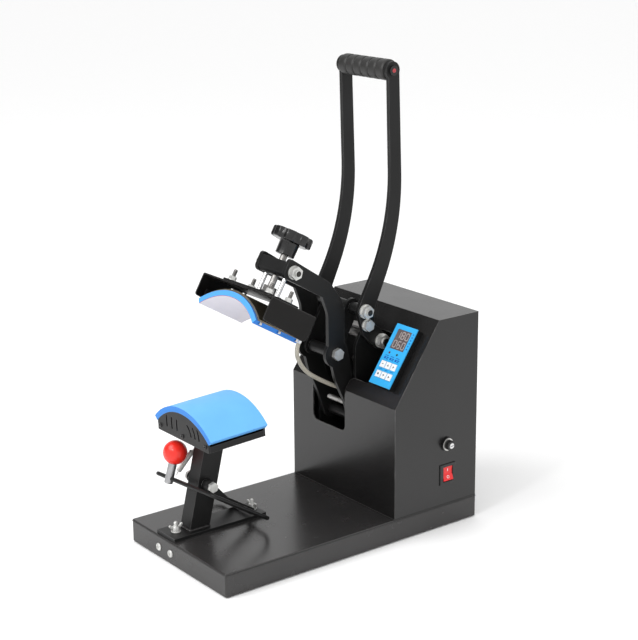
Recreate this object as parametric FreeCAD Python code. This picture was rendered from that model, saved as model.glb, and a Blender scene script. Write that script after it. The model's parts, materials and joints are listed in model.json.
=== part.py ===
import FreeCAD, Part
import math
import os

# Curved heat press for caps.  Millimetres, +Z up, the operator stands on the -Y side.
# Origin: centre of the rectangle that the base rests on, at floor level.
# Every sub-part is written to parts/NODE.step.

V = FreeCAD.Vector

# ---------------------------------------------------------------- base and housing
BASE_W = 240.0            # across, X
BASE_L = 449.0            # front to back, Y
BASE_TOP = 35.0           # top face of the base
FOOT_GAP = 2.0            # height of the tray's edge above the floor
SHEET = 2.0               # folded steel sheet
LIP = 22.0                # inward lips along the bottom of the tray
HOUSING_FRONT = 67.0      # Y of the vertical front wall
CREASE_Z = 201.0          # where the front wall turns into the slope
SLOPE_TOP_Y = 147.4
HOUSING_TOP = 318.0
REAR_Y = BASE_L / 2
STEP_R = 10.0             # rounding where the arm notch meets the wide opening

# ---------------------------------------------------------------- press plane
PRESS_X = -32.4           # middle plane of arm, head, platen and handle

# ---------------------------------------------------------------- linkage, (Y, Z) points
ARM_PIVOT = (96.4, 149.65)
LINK_PIN = (55.0, 258.0)      # link to arm
CRANK_PIN = (90.5, 320.2)     # handle to link
HANDLE_PIVOT = (120.0, 271.0)
STOP_STUD = (78.0, 176.5)
HANDLE_BOLT = (94.0, 299.2)

# half-widths of the layers, measured from the press plane
LINK_IN, LINK_OUT = 22.0, 27.0
ARM_IN, ARM_OUT = 29.0, 35.0
FRAME_IN, FRAME_OUT = 41.0, 46.0
BAR_IN, BAR_OUT = 50.0, 56.0
FIT = 0.06                # radial running clearance

# ---------------------------------------------------------------- hand grip
GRIP = (141.0, 660.0)
GRIP_R = 15.0
GRIP_RIDGES = 5

# ---------------------------------------------------------------- head (tilted back when open)
HEAD_ORIGIN = (-113.3, 342.0)
HEAD_TILT = 30.5
HEAD_L = 84.4
HEATER_R = 101.2          # working face, one cap cloth above the pad
HEATER_HALF = 65.0        # half chord of the working face
COVER_HALF = 84.0
COVER_TOP = 44.0
COVER_LOW_FRONT = 10.2    # lower edge of the cover's walls
COVER_LOW_REAR = 5.0
SCREW_U = 55.5            # pressure screw, along the head
HEAD_BOLT_W = 90.0
CHANNEL_LOW, CHANNEL_HIGH = 78.0, 100.0
CHANNEL_FRONT, CHANNEL_REAR = 41.0, 70.0
GUIDE_R = 3.2             # guide rods
GUIDE_X = 22.3
LOBES = 8                 # star knob
KNOB_R = 30.0

# ---------------------------------------------------------------- platen
PLATEN_ORIGIN = (-190.5, 218.9)   # front edge of the pad's crown
PLATEN_TILT = 2.5
PLATEN_L = 95.0
PAD_R = 100.0
PAD_T = 8.0
PAD_HALF = 71.0
PLATEN_HALF = 64.0
PLATEN_LOW = -48.0

# ---------------------------------------------------------------- post and clamp
POST_W = 25.0
POST_D = 33.0
POST_LEAN = 0.2421        # run back per unit of height
FOOT_PLATE_T = 5.0
CLAMP_PIVOT = (-160.0, 104.0)
HOOP_HALF = 76.0
HOOP_REAR = (-90.6, 51.0)     # rear and front bars at their right-hand ends
HOOP_FRONT = (-188.0, 112.4)
HOOP_ROLL = 0.076             # the hoop's left side lies lower, per mm across
HOOP_ROD = 3.0
LEVER_X = -72.0
LEVER_FOOT = (-190.4, 96.4)
LEVER_LEAN = (0.292, 0.956)
BALL_R = 17.5
SPRING_FOOT = V(-102.5, -158.0, 92.0)
SPRING_TOP = V(-60.0, -151.7, 145.2)

# ---------------------------------------------------------------- control box on the slope
PANEL_X0, PANEL_X1 = 57.0, 102.5
PANEL_S0, PANEL_S1 = 23.0, 117.5
PANEL_H = 12.0
BUTTON_X = (68.2, 79.75, 91.3)
BUTTON_S = (54.4, 39.0)

# ---------------------------------------------------------------- switches and sockets
ROCKER_Y, ROCKER_Z = 166.5, 82.0
ROCKER_TILT = -8.0
FUSE_Y, FUSE_Z = 165.0, 128.3
INLET_X, INLET_Z = 60.0, 75.0

os.makedirs("parts", exist_ok=True)


def save(name, shape):
    shape.exportStep("parts/%s.step" % name)


def group(shapes):
    return Part.makeCompound(shapes)


def fuse(shapes):
    whole = shapes[0]
    for shape in shapes[1:]:
        whole = whole.fuse(shape)
    return whole.removeSplitter()


def box(x0, x1, y0, y1, z0, z1):
    return Part.makeBox(x1 - x0, y1 - y0, z1 - z0, V(x0, y0, z0))


def rod_x(x0, x1, point, radius):
    return Part.makeCylinder(radius, x1 - x0, V(x0, point[0], point[1]), V(1, 0, 0))


def rod_z(x, y, z0, z1, radius):
    return Part.makeCylinder(radius, z1 - z0, V(x, y, z0))


def hex_x(x0, x1, point, across):
    """Hexagonal head or nut with its axis along X; across is the width over flats."""
    corner = across / 2 / math.cos(math.radians(30))
    pts = []
    for i in range(7):
        a = math.radians(60 * i + 15)
        pts.append(V(x0, point[0] + corner * math.cos(a), point[1] + corner * math.sin(a)))
    return Part.Face(Part.makePolygon(pts)).extrude(V(x1 - x0, 0, 0))


def hex_z(x, y, z0, z1, across):
    corner = across / 2 / math.cos(math.radians(30))
    pts = []
    for i in range(7):
        a = math.radians(60 * i)
        pts.append(V(x + corner * math.cos(a), y + corner * math.sin(a), z0))
    return Part.Face(Part.makePolygon(pts)).extrude(V(0, 0, z1 - z0))


def plate_x(points, x0, x1):
    """Flat plate from a (Y, Z) outline, lying between x0 and x1."""
    pts = [V(x0, y, z) for y, z in points]
    return Part.Face(Part.makePolygon(pts + pts[:1])).extrude(V(x1 - x0, 0, 0))


def rounded_plate(corners, x0, x1):
    """Flat plate whose outline has a radius at every corner: (Y, Z, radius)."""
    edges = []
    marks = []
    count = len(corners)
    for i in range(count):
        before, here, after = corners[i - 1], corners[i], corners[(i + 1) % count]
        p = V(x0, here[0], here[1])
        a = (V(x0, before[0], before[1]) - p).normalize()
        b = (V(x0, after[0], after[1]) - p).normalize()
        inside = a.getAngle(b)
        radius = max(here[2], 0.2)
        reach = radius / math.tan(inside / 2)
        middle = (a + b).normalize()
        centre = p + middle * (radius / math.sin(inside / 2))
        marks.append((p + a * reach, centre - middle * radius, p + b * reach))
    for i in range(count):
        start, mid, end = marks[i]
        edges.append(Part.Arc(start, mid, end).toShape())
        edges.append(Part.LineSegment(end, marks[(i + 1) % count][0]).toShape())
    return Part.Face(Part.Wire(edges)).extrude(V(x1 - x0, 0, 0))


def bend_bar(points, radii, half, x0, x1):
    """Flat bar of constant width 2*half whose middle line is points, rounded at its bends."""
    left, right = [], []
    edges_l, edges_r = [], []
    n = len(points)

    def unit(a, b):
        d = math.hypot(b[0] - a[0], b[1] - a[1])
        return ((b[0] - a[0]) / d, (b[1] - a[1]) / d)

    def off(p, d, side):
        return V(x0, p[0] - d[1] * half * side, p[1] + d[0] * half * side)

    first = unit(points[0], points[1])
    last = unit(points[-2], points[-1])
    left.append(off(points[0], first, 1))
    right.append(off(points[0], first, -1))
    for i in range(1, n - 1):
        a = unit(points[i - 1], points[i])
        b = unit(points[i], points[i + 1])
        turn = math.atan2(a[0] * b[1] - a[1] * b[0], a[0] * b[0] + a[1] * b[1])
        side = 1 if turn > 0 else -1
        reach = radii[i - 1] * math.tan(abs(turn) / 2)
        start = (points[i][0] - a[0] * reach, points[i][1] - a[1] * reach)
        end = (points[i][0] + b[0] * reach, points[i][1] + b[1] * reach)
        centre = (start[0] - a[1] * side * radii[i - 1], start[1] + a[0] * side * radii[i - 1])
        middle = unit(centre, points[i])
        for sgn, chain, edges in ((1, left, edges_l), (-1, right, edges_r)):
            r = radii[i - 1] - half * side * sgn
            p = off(start, a, sgn)
            q = off(end, b, sgn)
            mid = V(x0, centre[0] + middle[0] * r, centre[1] + middle[1] * r)
            edges.append(Part.LineSegment(chain[-1], p).toShape())
            edges.append(Part.Arc(p, mid, q).toShape())
            chain.append(q)
    end_l = off(points[-1], last, 1)
    end_r = off(points[-1], last, -1)
    edges_l.append(Part.LineSegment(left[-1], end_l).toShape())
    edges_r.append(Part.LineSegment(right[-1], end_r).toShape())
    tip = V(x0, points[-1][0] + last[0] * half, points[-1][1] + last[1] * half)
    tail = V(x0, points[0][0] - first[0] * half, points[0][1] - first[1] * half)
    far = Part.Arc(end_l, tip, end_r).toShape()
    near = Part.Arc(right[0], tail, left[0]).toShape()
    wire = Part.Wire(Part.__sortEdges__(edges_l + [far] + edges_r + [near]))
    return Part.Face(wire).extrude(V(x1 - x0, 0, 0))


def round_rod(points, radii, radius):
    """Bent round bar: straight runs joined by tangent arcs."""
    edges = []
    here = points[0]
    for i in range(1, len(points) - 1):
        a = (points[i] - points[i - 1]).normalize()
        b = (points[i + 1] - points[i]).normalize()
        turn = a.getAngle(b)
        reach = radii[i - 1] * math.tan(turn / 2)
        start = points[i] - a * reach
        end = points[i] + b * reach
        inward = (b - a).normalize()
        centre = points[i] + inward * (radii[i - 1] / math.cos(turn / 2))
        mid = centre - inward * radii[i - 1]
        edges.append(Part.LineSegment(here, start).toShape())
        edges.append(Part.Arc(start, mid, end).toShape())
        here = end
    edges.append(Part.LineSegment(here, points[-1]).toShape())
    path = Part.Wire(edges)
    circle = Part.Circle(points[0], (points[1] - points[0]).normalize(), radius)
    return path.makePipeShell([Part.Wire(circle.toShape())], True, False)


def in_head(shape):
    """Move a shape from head coordinates (across, along, up) to the open head's place."""
    out = shape.copy()
    out.rotate(V(0, 0, 0), V(1, 0, 0), -HEAD_TILT)
    out.translate(V(PRESS_X, HEAD_ORIGIN[0], HEAD_ORIGIN[1]))
    return out


def in_platen(shape):
    out = shape.copy()
    out.rotate(V(0, 0, 0), V(1, 0, 0), PLATEN_TILT)
    out.translate(V(PRESS_X, PLATEN_ORIGIN[0], PLATEN_ORIGIN[1]))
    return out


def on_slope(shape):
    """Move a shape from slope coordinates (X, up the slope, out of it) onto the slope."""
    out = shape.copy()
    angle = math.degrees(math.atan2(HOUSING_TOP - CREASE_Z, SLOPE_TOP_Y - HOUSING_FRONT))
    out.rotate(V(0, 0, 0), V(1, 0, 0), angle)
    out.translate(V(0, HOUSING_FRONT, CREASE_Z))
    return out


def arch(r_in, r_out, half_angle, u0, u1, centre_w):
    """Curved slab: a ring sector standing across the press plane, u0 to u1 long."""
    def at(r, a):
        a = math.radians(a)
        return V(r * math.sin(a), u0, centre_w + r * math.cos(a))
    outer = Part.Arc(at(r_out, -half_angle), at(r_out, 0), at(r_out, half_angle)).toShape()
    inner = Part.Arc(at(r_in, half_angle), at(r_in, 0), at(r_in, -half_angle)).toShape()
    side = Part.LineSegment(at(r_out, half_angle), at(r_in, half_angle)).toShape()
    back = Part.LineSegment(at(r_in, -half_angle), at(r_out, -half_angle)).toShape()
    face = Part.Face(Part.Wire([outer, side, inner, back]))
    return face.extrude(V(0, u1 - u0, 0))


def fillet_along(shape, radius, test):
    """Round the edges that test() picks."""
    picked = [e for e in shape.Edges if test(e)]
    return shape.makeFillet(radius, picked)


def is_vertical(edge):
    a, b = edge.Vertexes[0].Point, edge.Vertexes[-1].Point
    return abs(a.x - b.x) < 0.01 and abs(a.y - b.y) < 0.01


# ================================================================ base

def make_base():
    half_w, half_l = BASE_W / 2, BASE_L / 2
    outer = box(-half_w, half_w, -half_l, half_l, FOOT_GAP, BASE_TOP)
    outer = fillet_along(outer, 3.0, is_vertical)
    outer = fillet_along(outer, 1.5, lambda e: abs(e.BoundBox.ZMin - BASE_TOP) < 0.01)
    inner = box(-half_w + SHEET, half_w - SHEET, -half_l + SHEET, half_l - SHEET,
                FOOT_GAP + SHEET, BASE_TOP - SHEET)
    mouth = box(-half_w + LIP, half_w - LIP, -half_l + LIP, half_l - LIP,
                FOOT_GAP - 1, FOOT_GAP + SHEET + 1)
    tray = outer.cut(inner).cut(mouth)
    for x, y in foot_places():
        tray = tray.cut(rod_z(x, y, FOOT_GAP - 1, FOOT_GAP + SHEET + 1, 3.1))
    for x in front_screw_x():
        hole = Part.makeCylinder(2.6, 8, V(x, -half_l - 1, 17.0), V(0, 1, 0))
        tray = tray.cut(hole)
    for y in wing_bolt_y():
        tray = tray.cut(rod_z(PRESS_X, y, BASE_TOP - SHEET - 1, BASE_TOP + 1, 3.1))
    save("base_tray", tray)


def foot_places():
    return [(sx * (BASE_W / 2 - 15), sy * (BASE_L / 2 - 15)) for sx in (-1, 1) for sy in (-1, 1)]


def front_screw_x():
    return (PRESS_X - 15.0, PRESS_X + 15.0)


def wing_bolt_y():
    return (-205.0, -75.0)


def make_feet():
    feet = []
    for x, y in foot_places():
        pad = rod_z(x, y, 0, FOOT_GAP, 11.0)
        stem = rod_z(x, y, FOOT_GAP - 0.5, FOOT_GAP + SHEET, 3.0)
        cap = rod_z(x, y, FOOT_GAP + SHEET, FOOT_GAP + SHEET + 1.5, 5.0)
        feet.append(fuse([pad, stem, cap]))
    save("rubber_feet", group(feet))


def make_housing_screws():
    """Two screws in the front edge of the base and six in the rear cover."""
    screws = []
    half = BASE_W / 2
    for x in (-half + 9, half - 9):
        for z in (BASE_TOP + 10, 175.0, HOUSING_TOP - 12):
            screws.append(Part.makeCylinder(3.4, 1.8, V(x, REAR_Y, z), V(0, 1, 0)))
    for x in front_screw_x():
        y = -BASE_L / 2
        shank = Part.makeCylinder(2.5, 12, V(x, y - 0.5, 17.0), V(0, 1, 0))
        head = Part.makeCylinder(5.5, 2.4, V(x, y - 2.4, 17.0), V(0, 1, 0))
        head = head.makeFillet(1.2, [e for e in head.Edges if abs(e.BoundBox.YMax - (y - 2.4)) < 0.01])
        screws.append(fuse([shank, head]))
    save("housing_screws", group(screws))


# ================================================================ housing

def housing_outline(inset):
    """(Y, Z) outline of the housing, moved in by inset on the front, slope and top."""
    run = SLOPE_TOP_Y - HOUSING_FRONT
    rise = HOUSING_TOP - CREASE_Z
    length = math.hypot(run, rise)
    # inset slope line: points at distance inset inside the outer slope line
    def slope_y(z):
        shift = inset * length / rise
        return HOUSING_FRONT + (z - CREASE_Z) * run / rise + shift
    front = HOUSING_FRONT + inset
    top = HOUSING_TOP - inset
    knee = CREASE_Z + (front - slope_y(CREASE_Z)) * rise / run
    return [(front, BASE_TOP), (front, knee), (slope_y(top), top), (REAR_Y - SHEET, top),
            (REAR_Y - SHEET, BASE_TOP)]


def make_housing():
    half = BASE_W / 2
    shell = plate_x(housing_outline(0), -half, half)
    hollow = plate_x(housing_outline(SHEET), -half + SHEET, half - SHEET)
    rear_gap = box(-half + SHEET, half - SHEET, REAR_Y - SHEET - 1, REAR_Y, BASE_TOP - 1,
                   HOUSING_TOP - SHEET)
    floor_gap = box(-half + SHEET, half - SHEET, HOUSING_FRONT + SHEET, REAR_Y, BASE_TOP - 1,
                    BASE_TOP + 1)
    shell = shell.cut(hollow).cut(rear_gap).cut(floor_gap)
    # lower notch for the arm, with rounded bottom corners
    notch = box(PRESS_X - 38.3, PRESS_X + 38.3, HOUSING_FRONT - 5, HOUSING_FRONT + 40, 137.0, 300)
    low_edges = [e for e in notch.Edges if e.BoundBox.ZMax < 137.01 and e.BoundBox.YLength > 10]
    notch = notch.makeFillet(9.0, low_edges)
    notch = notch.common(box(-half, half, 0, 200, 0, 222))
    shell = shell.cut(notch)
    # wider opening on the slope for the handle and its frame
    wide = on_slope(box(PRESS_X - 76.4, PRESS_X + 76.4, 22.0, 103.0, -12, 12))
    shell = shell.cut(wide)
    # the step between notch and opening is rounded
    for side in (-1, 1):
        a, b = PRESS_X + side * 37.0, PRESS_X + side * (38.3 + STEP_R)
        corner = box(min(a, b), max(a, b), 22.0 - STEP_R, 24.0, -12, 12)
        keep = Part.makeCylinder(STEP_R, 30, V(b, 22.0 - STEP_R, -15), V(0, 0, 1))
        shell = shell.cut(on_slope(corner.cut(keep)))
    # right wall: rocker cut-out and fuse holder hole
    shell = shell.cut(box(half - 6, half + 2, ROCKER_Y - 10.7, ROCKER_Y + 10.7,
                          ROCKER_Z - 13.2, ROCKER_Z + 13.2))
    shell = shell.cut(rod_x(half - 6, half + 2, (FUSE_Y, FUSE_Z), 6.2))
    # cable window behind the control box, and louvres in the left wall
    shell = shell.cut(on_slope(box(PANEL_X0 + 12, PANEL_X1 - 12, 50, 92, -8, 4)))
    for i in range(6):
        z = 90.0 + 14.0 * i
        slot = box(-half - 2, -half + 6, 130.0, 190.0, z, z + 4.0)
        shell = shell.cut(slot)
    save("housing_shell", shell)


def make_rear_cover():
    half = BASE_W / 2
    plate = box(-half + SHEET + 0.3, half - SHEET - 0.3, REAR_Y - SHEET, REAR_Y,
                BASE_TOP + 0.3, HOUSING_TOP - SHEET - 0.3)
    plate = plate.cut(box(INLET_X - 14.2, INLET_X + 14.2, REAR_Y - 6, REAR_Y + 2,
                          INLET_Z - 10.2, INLET_Z + 10.2))
    for i in range(5):
        z = 200.0 + 16.0 * i
        plate = plate.cut(box(-50.0, 50.0, REAR_Y - 6, REAR_Y + 2, z, z + 5.0))
    save("rear_cover", plate)


# ================================================================ frame inside the housing

def make_frame():
    outline = [(81.4, BASE_TOP, 0), (81.4, 268.0, 12.0), (91.0, 285.5, 6.0), (98.0, 291.0, 5.0),
               (113.0, 291.0, 4.0), (122.0, 280.0, 4.0), (150.0, 262.0, 20.0),
               (168.0, 120.0, 40.0), (176.0, BASE_TOP, 0)]
    for name, x0, x1 in (("frame_plate_left", PRESS_X - FRAME_OUT, PRESS_X - FRAME_IN),
                         ("frame_plate_right", PRESS_X + FRAME_IN, PRESS_X + FRAME_OUT)):
        plate = rounded_plate(outline, x0, x1)
        plate = plate.cut(rod_x(x0 - 1, x1 + 1, ARM_PIVOT, 8.0))
        plate = plate.cut(rod_x(x0 - 1, x1 + 1, HANDLE_PIVOT, 6.0))
        for point in frame_tube_points():
            plate = plate.cut(rod_x(x0 - 1, x1 + 1, point, 4.0))
        outside = x1 if x0 > PRESS_X else x0
        foot_x0 = outside if x0 > PRESS_X else outside - 18
        foot = box(foot_x0, foot_x0 + 18, 81.4, 176.0, BASE_TOP, BASE_TOP + 4)
        save(name, fuse([plate, foot]))


def frame_tube_points():
    return ((99.5, 280.5), (162.0, 60.0), (150.0, 215.0))


def make_frame_tubes():
    tubes = []
    for point in frame_tube_points():
        tube = rod_x(PRESS_X - FRAME_IN, PRESS_X + FRAME_IN, point, 6.5)
        stud = rod_x(PRESS_X - FRAME_OUT - 2.4, PRESS_X + FRAME_OUT + 2.4, point, 3.95)
        tubes.append(fuse([tube, stud]))
    bridge = box(PRESS_X - FRAME_IN, PRESS_X + FRAME_IN, 98.0, 113.0, 288.2, 291.0)
    save("frame_tubes", group(tubes + [bridge]))


def make_pivots():
    # arm shaft, fixed in the frame plates
    shaft = rod_x(PRESS_X - FRAME_OUT, PRESS_X + FRAME_OUT, ARM_PIVOT, 7.95)
    washers = []
    for side in (-1, 1):
        a = PRESS_X + side * (FRAME_OUT + 3.0)
        b = PRESS_X + side * FRAME_OUT
        washers.append(rod_x(min(a, b), max(a, b), ARM_PIVOT, 11.0))
        c = PRESS_X + side * FRAME_IN
        d = PRESS_X + side * (ARM_OUT + 0.4)
        washers.append(rod_x(min(c, d), max(c, d), ARM_PIVOT, 12.0))
    save("arm_shaft", fuse([shaft] + washers))
    # one shoulder bolt on each side carries the handle
    bolts = []
    for side in (-1, 1):
        def span(a, b, radius):
            p, q = PRESS_X + side * a, PRESS_X + side * b
            return rod_x(min(p, q), max(p, q), HANDLE_PIVOT, radius)
        p, q = PRESS_X + side * (BAR_OUT + 2.0), PRESS_X + side * (BAR_OUT + 10.0)
        nut = hex_x(min(p, q), max(p, q), HANDLE_PIVOT, 19.0)
        p, q = PRESS_X + side * (FRAME_IN - 5.0), PRESS_X + side * FRAME_IN
        inner = hex_x(min(p, q), max(p, q), HANDLE_PIVOT, 17.0)
        body = [span(FRAME_IN - 1, BAR_OUT + 12.0, 5.95), nut, inner,
                span(FRAME_OUT, BAR_IN - 0.3, 10.0), span(BAR_OUT + 0.3, BAR_OUT + 2.0, 11.0)]
        bolts.append(fuse(body))
    save("handle_pivot_bolts", group(bolts))


# ================================================================ arm

def make_arm():
    outline = [(-24.9, 412.3, 5.0), (44.0, 366.5, 40.0), (69.8, 331.0, 40.0), (69.2, 274.0, 12.0),
               (77.5, 252.0, 20.0), (84.0, 212.0, 60.0), (111.0, 157.0, 12.0), (100.0, 135.0, 10.0),
               (84.0, 139.0, 10.0), (68.5, 184.0, 40.0), (52.5, 218.5, 50.0), (40.3, 268.0, 20.0),
               (40.3, 319.5, 30.0), (30.0, 347.0, 2.0), (-39.3, 387.8, 8.0)]
    for name, x0, x1 in (("arm_plate_left", PRESS_X - ARM_OUT, PRESS_X - ARM_IN),
                         ("arm_plate_right", PRESS_X + ARM_IN, PRESS_X + ARM_OUT)):
        plate = rounded_plate(outline, x0, x1)
        boss = rod_x(x0, x1, LINK_PIN, 20.0)
        plate = fuse([plate, boss])
        plate = plate.cut(rod_x(x0 - 1, x1 + 1, ARM_PIVOT, 7.95 + FIT))
        plate = plate.cut(rod_x(x0 - 1, x1 + 1, LINK_PIN, 5.0))
        plate = plate.cut(rod_x(x0 - 1, x1 + 1, head_bolt_point(), 5.0))
        save(name, plate)
    # through bolt with its spacer tube, and a short bolt into each end of the cross channel
    through = [rod_x(PRESS_X - ARM_IN, PRESS_X + ARM_IN, LINK_PIN, 8.0)]
    bolts = []
    for side in (-1, 1):
        p, q = PRESS_X + side * ARM_OUT, PRESS_X + side * (ARM_OUT + 6.5)
        head = hex_x(min(p, q), max(p, q), LINK_PIN, 16.0)
        p, q = PRESS_X + side * ARM_IN, PRESS_X + side * (ARM_OUT + 1.0)
        shank = rod_x(min(p, q), max(p, q), LINK_PIN, 4.95)
        through += [head, shank]
        point = head_bolt_point()
        p, q = PRESS_X + side * (ARM_OUT + 1.5), PRESS_X + side * (ARM_OUT + 9.0)
        head = hex_x(min(p, q), max(p, q), point, 17.0)
        p, q = PRESS_X + side * ARM_OUT, PRESS_X + side * (ARM_OUT + 1.5)
        washer = rod_x(min(p, q), max(p, q), point, 10.0)
        p, q = PRESS_X + side * (ARM_IN - 3.0), PRESS_X + side * (ARM_OUT + 12.0)
        shank = rod_x(min(p, q), max(p, q), point, 4.9)
        bolts.append(fuse([head, washer, shank]))
    # threaded stop stud near the shaft, screwed into the right-hand plate
    stud = rod_x(PRESS_X - 13.0, PRESS_X + ARM_IN, STOP_STUD, 3.5)
    save("arm_bolts", group([fuse(through), stud] + bolts))


def head_bolt_point():
    """Bolt that holds the cross channel between the arm plates, in (Y, Z)."""
    a = math.radians(HEAD_TILT)
    u, w = SCREW_U, HEAD_BOLT_W
    return (HEAD_ORIGIN[0] + u * math.cos(a) + w * math.sin(a),
            HEAD_ORIGIN[1] - u * math.sin(a) + w * math.cos(a))


def make_channel():
    """Cross channel, open upwards, with end tabs bolted to the arm plates."""
    u0, u1 = CHANNEL_FRONT, CHANNEL_REAR
    wall = 3.0
    bend = 8.0

    def is_low(edge, level):
        return abs(edge.BoundBox.ZMax - level) < 0.01 and edge.BoundBox.XLength > 40
    outer = box(-ARM_IN, ARM_IN, u0, u1, CHANNEL_LOW, CHANNEL_HIGH)
    outer = fillet_along(outer, bend, lambda e: is_low(e, CHANNEL_LOW))
    inner = box(-ARM_IN + wall, ARM_IN - wall, u0 + wall, u1 - wall, CHANNEL_LOW + wall,
                CHANNEL_HIGH + 1)
    inner = fillet_along(inner, bend - wall, lambda e: is_low(e, CHANNEL_LOW + wall))
    channel = outer.cut(inner)
    for x, radius in ((-GUIDE_X, GUIDE_R + FIT), (0, 5.3), (GUIDE_X, GUIDE_R + FIT)):
        channel = channel.cut(rod_z(x, SCREW_U, CHANNEL_LOW - 1, CHANNEL_LOW + wall + 1, radius))
    shape = in_head(channel)
    shape = shape.cut(rod_x(PRESS_X - ARM_IN - 1, PRESS_X + ARM_IN + 1, head_bolt_point(), 5.0))
    save("cross_channel", shape)


# ================================================================ head

def make_head():
    centre = -math.sqrt(HEATER_R ** 2 - HEATER_HALF ** 2)
    half_angle = math.degrees(math.asin(HEATER_HALF / HEATER_R))
    save("heater_liner", in_head(arch(HEATER_R, 101.7, half_angle, 0.4, HEAD_L - 0.4, centre)))
    save("heater_mat", in_head(arch(101.72, 109.5, half_angle, 0.0, HEAD_L, centre)))
    save("heater_plate", in_head(arch(109.52, 112.5, half_angle, 3.5, HEAD_L - 1.5, centre)))
    # cover: folded sheet, open at both ends
    low = COVER_LOW_REAR
    outer = box(-COVER_HALF, COVER_HALF, 0.0, HEAD_L, low, COVER_TOP)
    outer = fillet_along(outer, 3.0, lambda e: abs(e.BoundBox.ZMin - COVER_TOP) < 0.01
                         and e.BoundBox.YLength > 10)
    inner = box(-COVER_HALF + SHEET, COVER_HALF - SHEET, -1, HEAD_L + 1, low - 1,
                COVER_TOP - SHEET)
    cover = outer.cut(inner)
    wedge = [(-1, low - 1), (-1, COVER_LOW_FRONT), (0, COVER_LOW_FRONT), (HEAD_L, low), (HEAD_L, low - 1)]
    cover = cover.cut(plate_x(wedge, -COVER_HALF - 1, COVER_HALF + 1))

    def is_corner(edge, u):
        size = edge.BoundBox
        across = abs(size.XLength - SHEET) < 0.01 and size.YLength < 0.01
        return across and abs(size.YMin - u) < 0.01 and size.ZMax < COVER_LOW_FRONT + 0.1
    cover = fillet_along(cover, 4.0, lambda e: is_corner(e, 0.0))
    cover = fillet_along(cover, 8.0, lambda e: is_corner(e, HEAD_L))
    save("head_cover", in_head(cover))
    # stiffening plate on the cover carries the guide rods and the screw's swivel
    strip = box(-58.0, 58.0, 14.0, 72.0, COVER_TOP, COVER_TOP + 4.0)
    strip = fillet_along(strip, 5.0, is_vertical)
    seat = rod_z(0, SCREW_U, COVER_TOP + 4.0, COVER_TOP + 8.0, 13.0)
    save("head_plate", in_head(fuse([strip, seat])))
    # four clips between the cover's walls and the edge of the heater
    clips = []
    inner_x = COVER_HALF - SHEET
    for side in (-1, 1):
        for u in (14.0, 60.0):
            a, b = side * 70.2, side * inner_x
            foot = box(min(a, b), max(a, b), u, u + 12.0, 10.7, 12.7)
            a, b = side * (inner_x - 2.0), side * inner_x
            leg = box(min(a, b), max(a, b), u, u + 12.0, 12.7, 24.0)
            clips.append(fuse([foot, leg]))
    save("head_bracket", in_head(group(clips)))
    rods = []
    for x in (-GUIDE_X, GUIDE_X):
        rod = rod_z(x, SCREW_U, COVER_TOP + 4.0, CHANNEL_LOW + 18.0, GUIDE_R)
        collar = rod_z(x, SCREW_U, COVER_TOP + 4.0, COVER_TOP + 7.0, 6.0)
        rods.append(fuse([rod, collar]))
    save("guide_rods", in_head(group(rods)))
    studs = []
    for x in (-45.0, 45.0):
        for u in (22.0, 59.0):
            nut = hex_z(x, u, COVER_TOP + 4.0, COVER_TOP + 13.0, 11.0)
            stud = rod_z(x, u, COVER_TOP + 4.0, COVER_TOP + 22.0, 3.0)
            studs.append(fuse([nut, stud]))
    save("head_nuts", in_head(group(studs)))


def make_knob():
    hub_low, hub_high, disc_top = 109.2, 129.5, 144.3
    screw_top = 136.0
    screw = rod_z(0, SCREW_U, COVER_TOP + 8.3, screw_top, 5.0)
    swivel = hex_z(0, SCREW_U, COVER_TOP + 8.3, COVER_TOP + 17.0, 17.0)
    save("pressure_screw", in_head(fuse([screw, swivel])))
    disc = rod_z(0, SCREW_U, hub_high - 1.0, disc_top, KNOB_R)
    for i in range(LOBES):
        a = 2 * math.pi * (i + 0.5) / LOBES
        x, u = (KNOB_R + 5.5) * math.cos(a), SCREW_U + (KNOB_R + 5.5) * math.sin(a)
        disc = disc.cut(rod_z(x, u, hub_high - 5, disc_top + 5, 8.5))
    hub = Part.makeCone(14.0, 14.5, hub_high - hub_low, V(0, SCREW_U, hub_low))
    knob = fuse([disc, hub])
    knob = knob.cut(rod_z(0, SCREW_U, hub_low - 1, screw_top, 5.0))
    save("star_knob", in_head(knob))


# ================================================================ link and handle

def make_link():
    """Toggle link: two plates welded to a cross tube at the crank end."""
    parts = [rod_x(PRESS_X - LINK_IN, PRESS_X + LINK_IN, CRANK_PIN, 8.0)]
    for side in (-1, 1):
        p, q = PRESS_X + side * LINK_IN, PRESS_X + side * LINK_OUT
        x0, x1 = min(p, q), max(p, q)
        plate = bend_bar([LINK_PIN, CRANK_PIN], (), 13.0, x0, x1)
        parts.append(plate.cut(rod_x(x0 - 1, x1 + 1, LINK_PIN, 8.0 + FIT)))
    save("toggle_link", fuse(parts))


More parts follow.
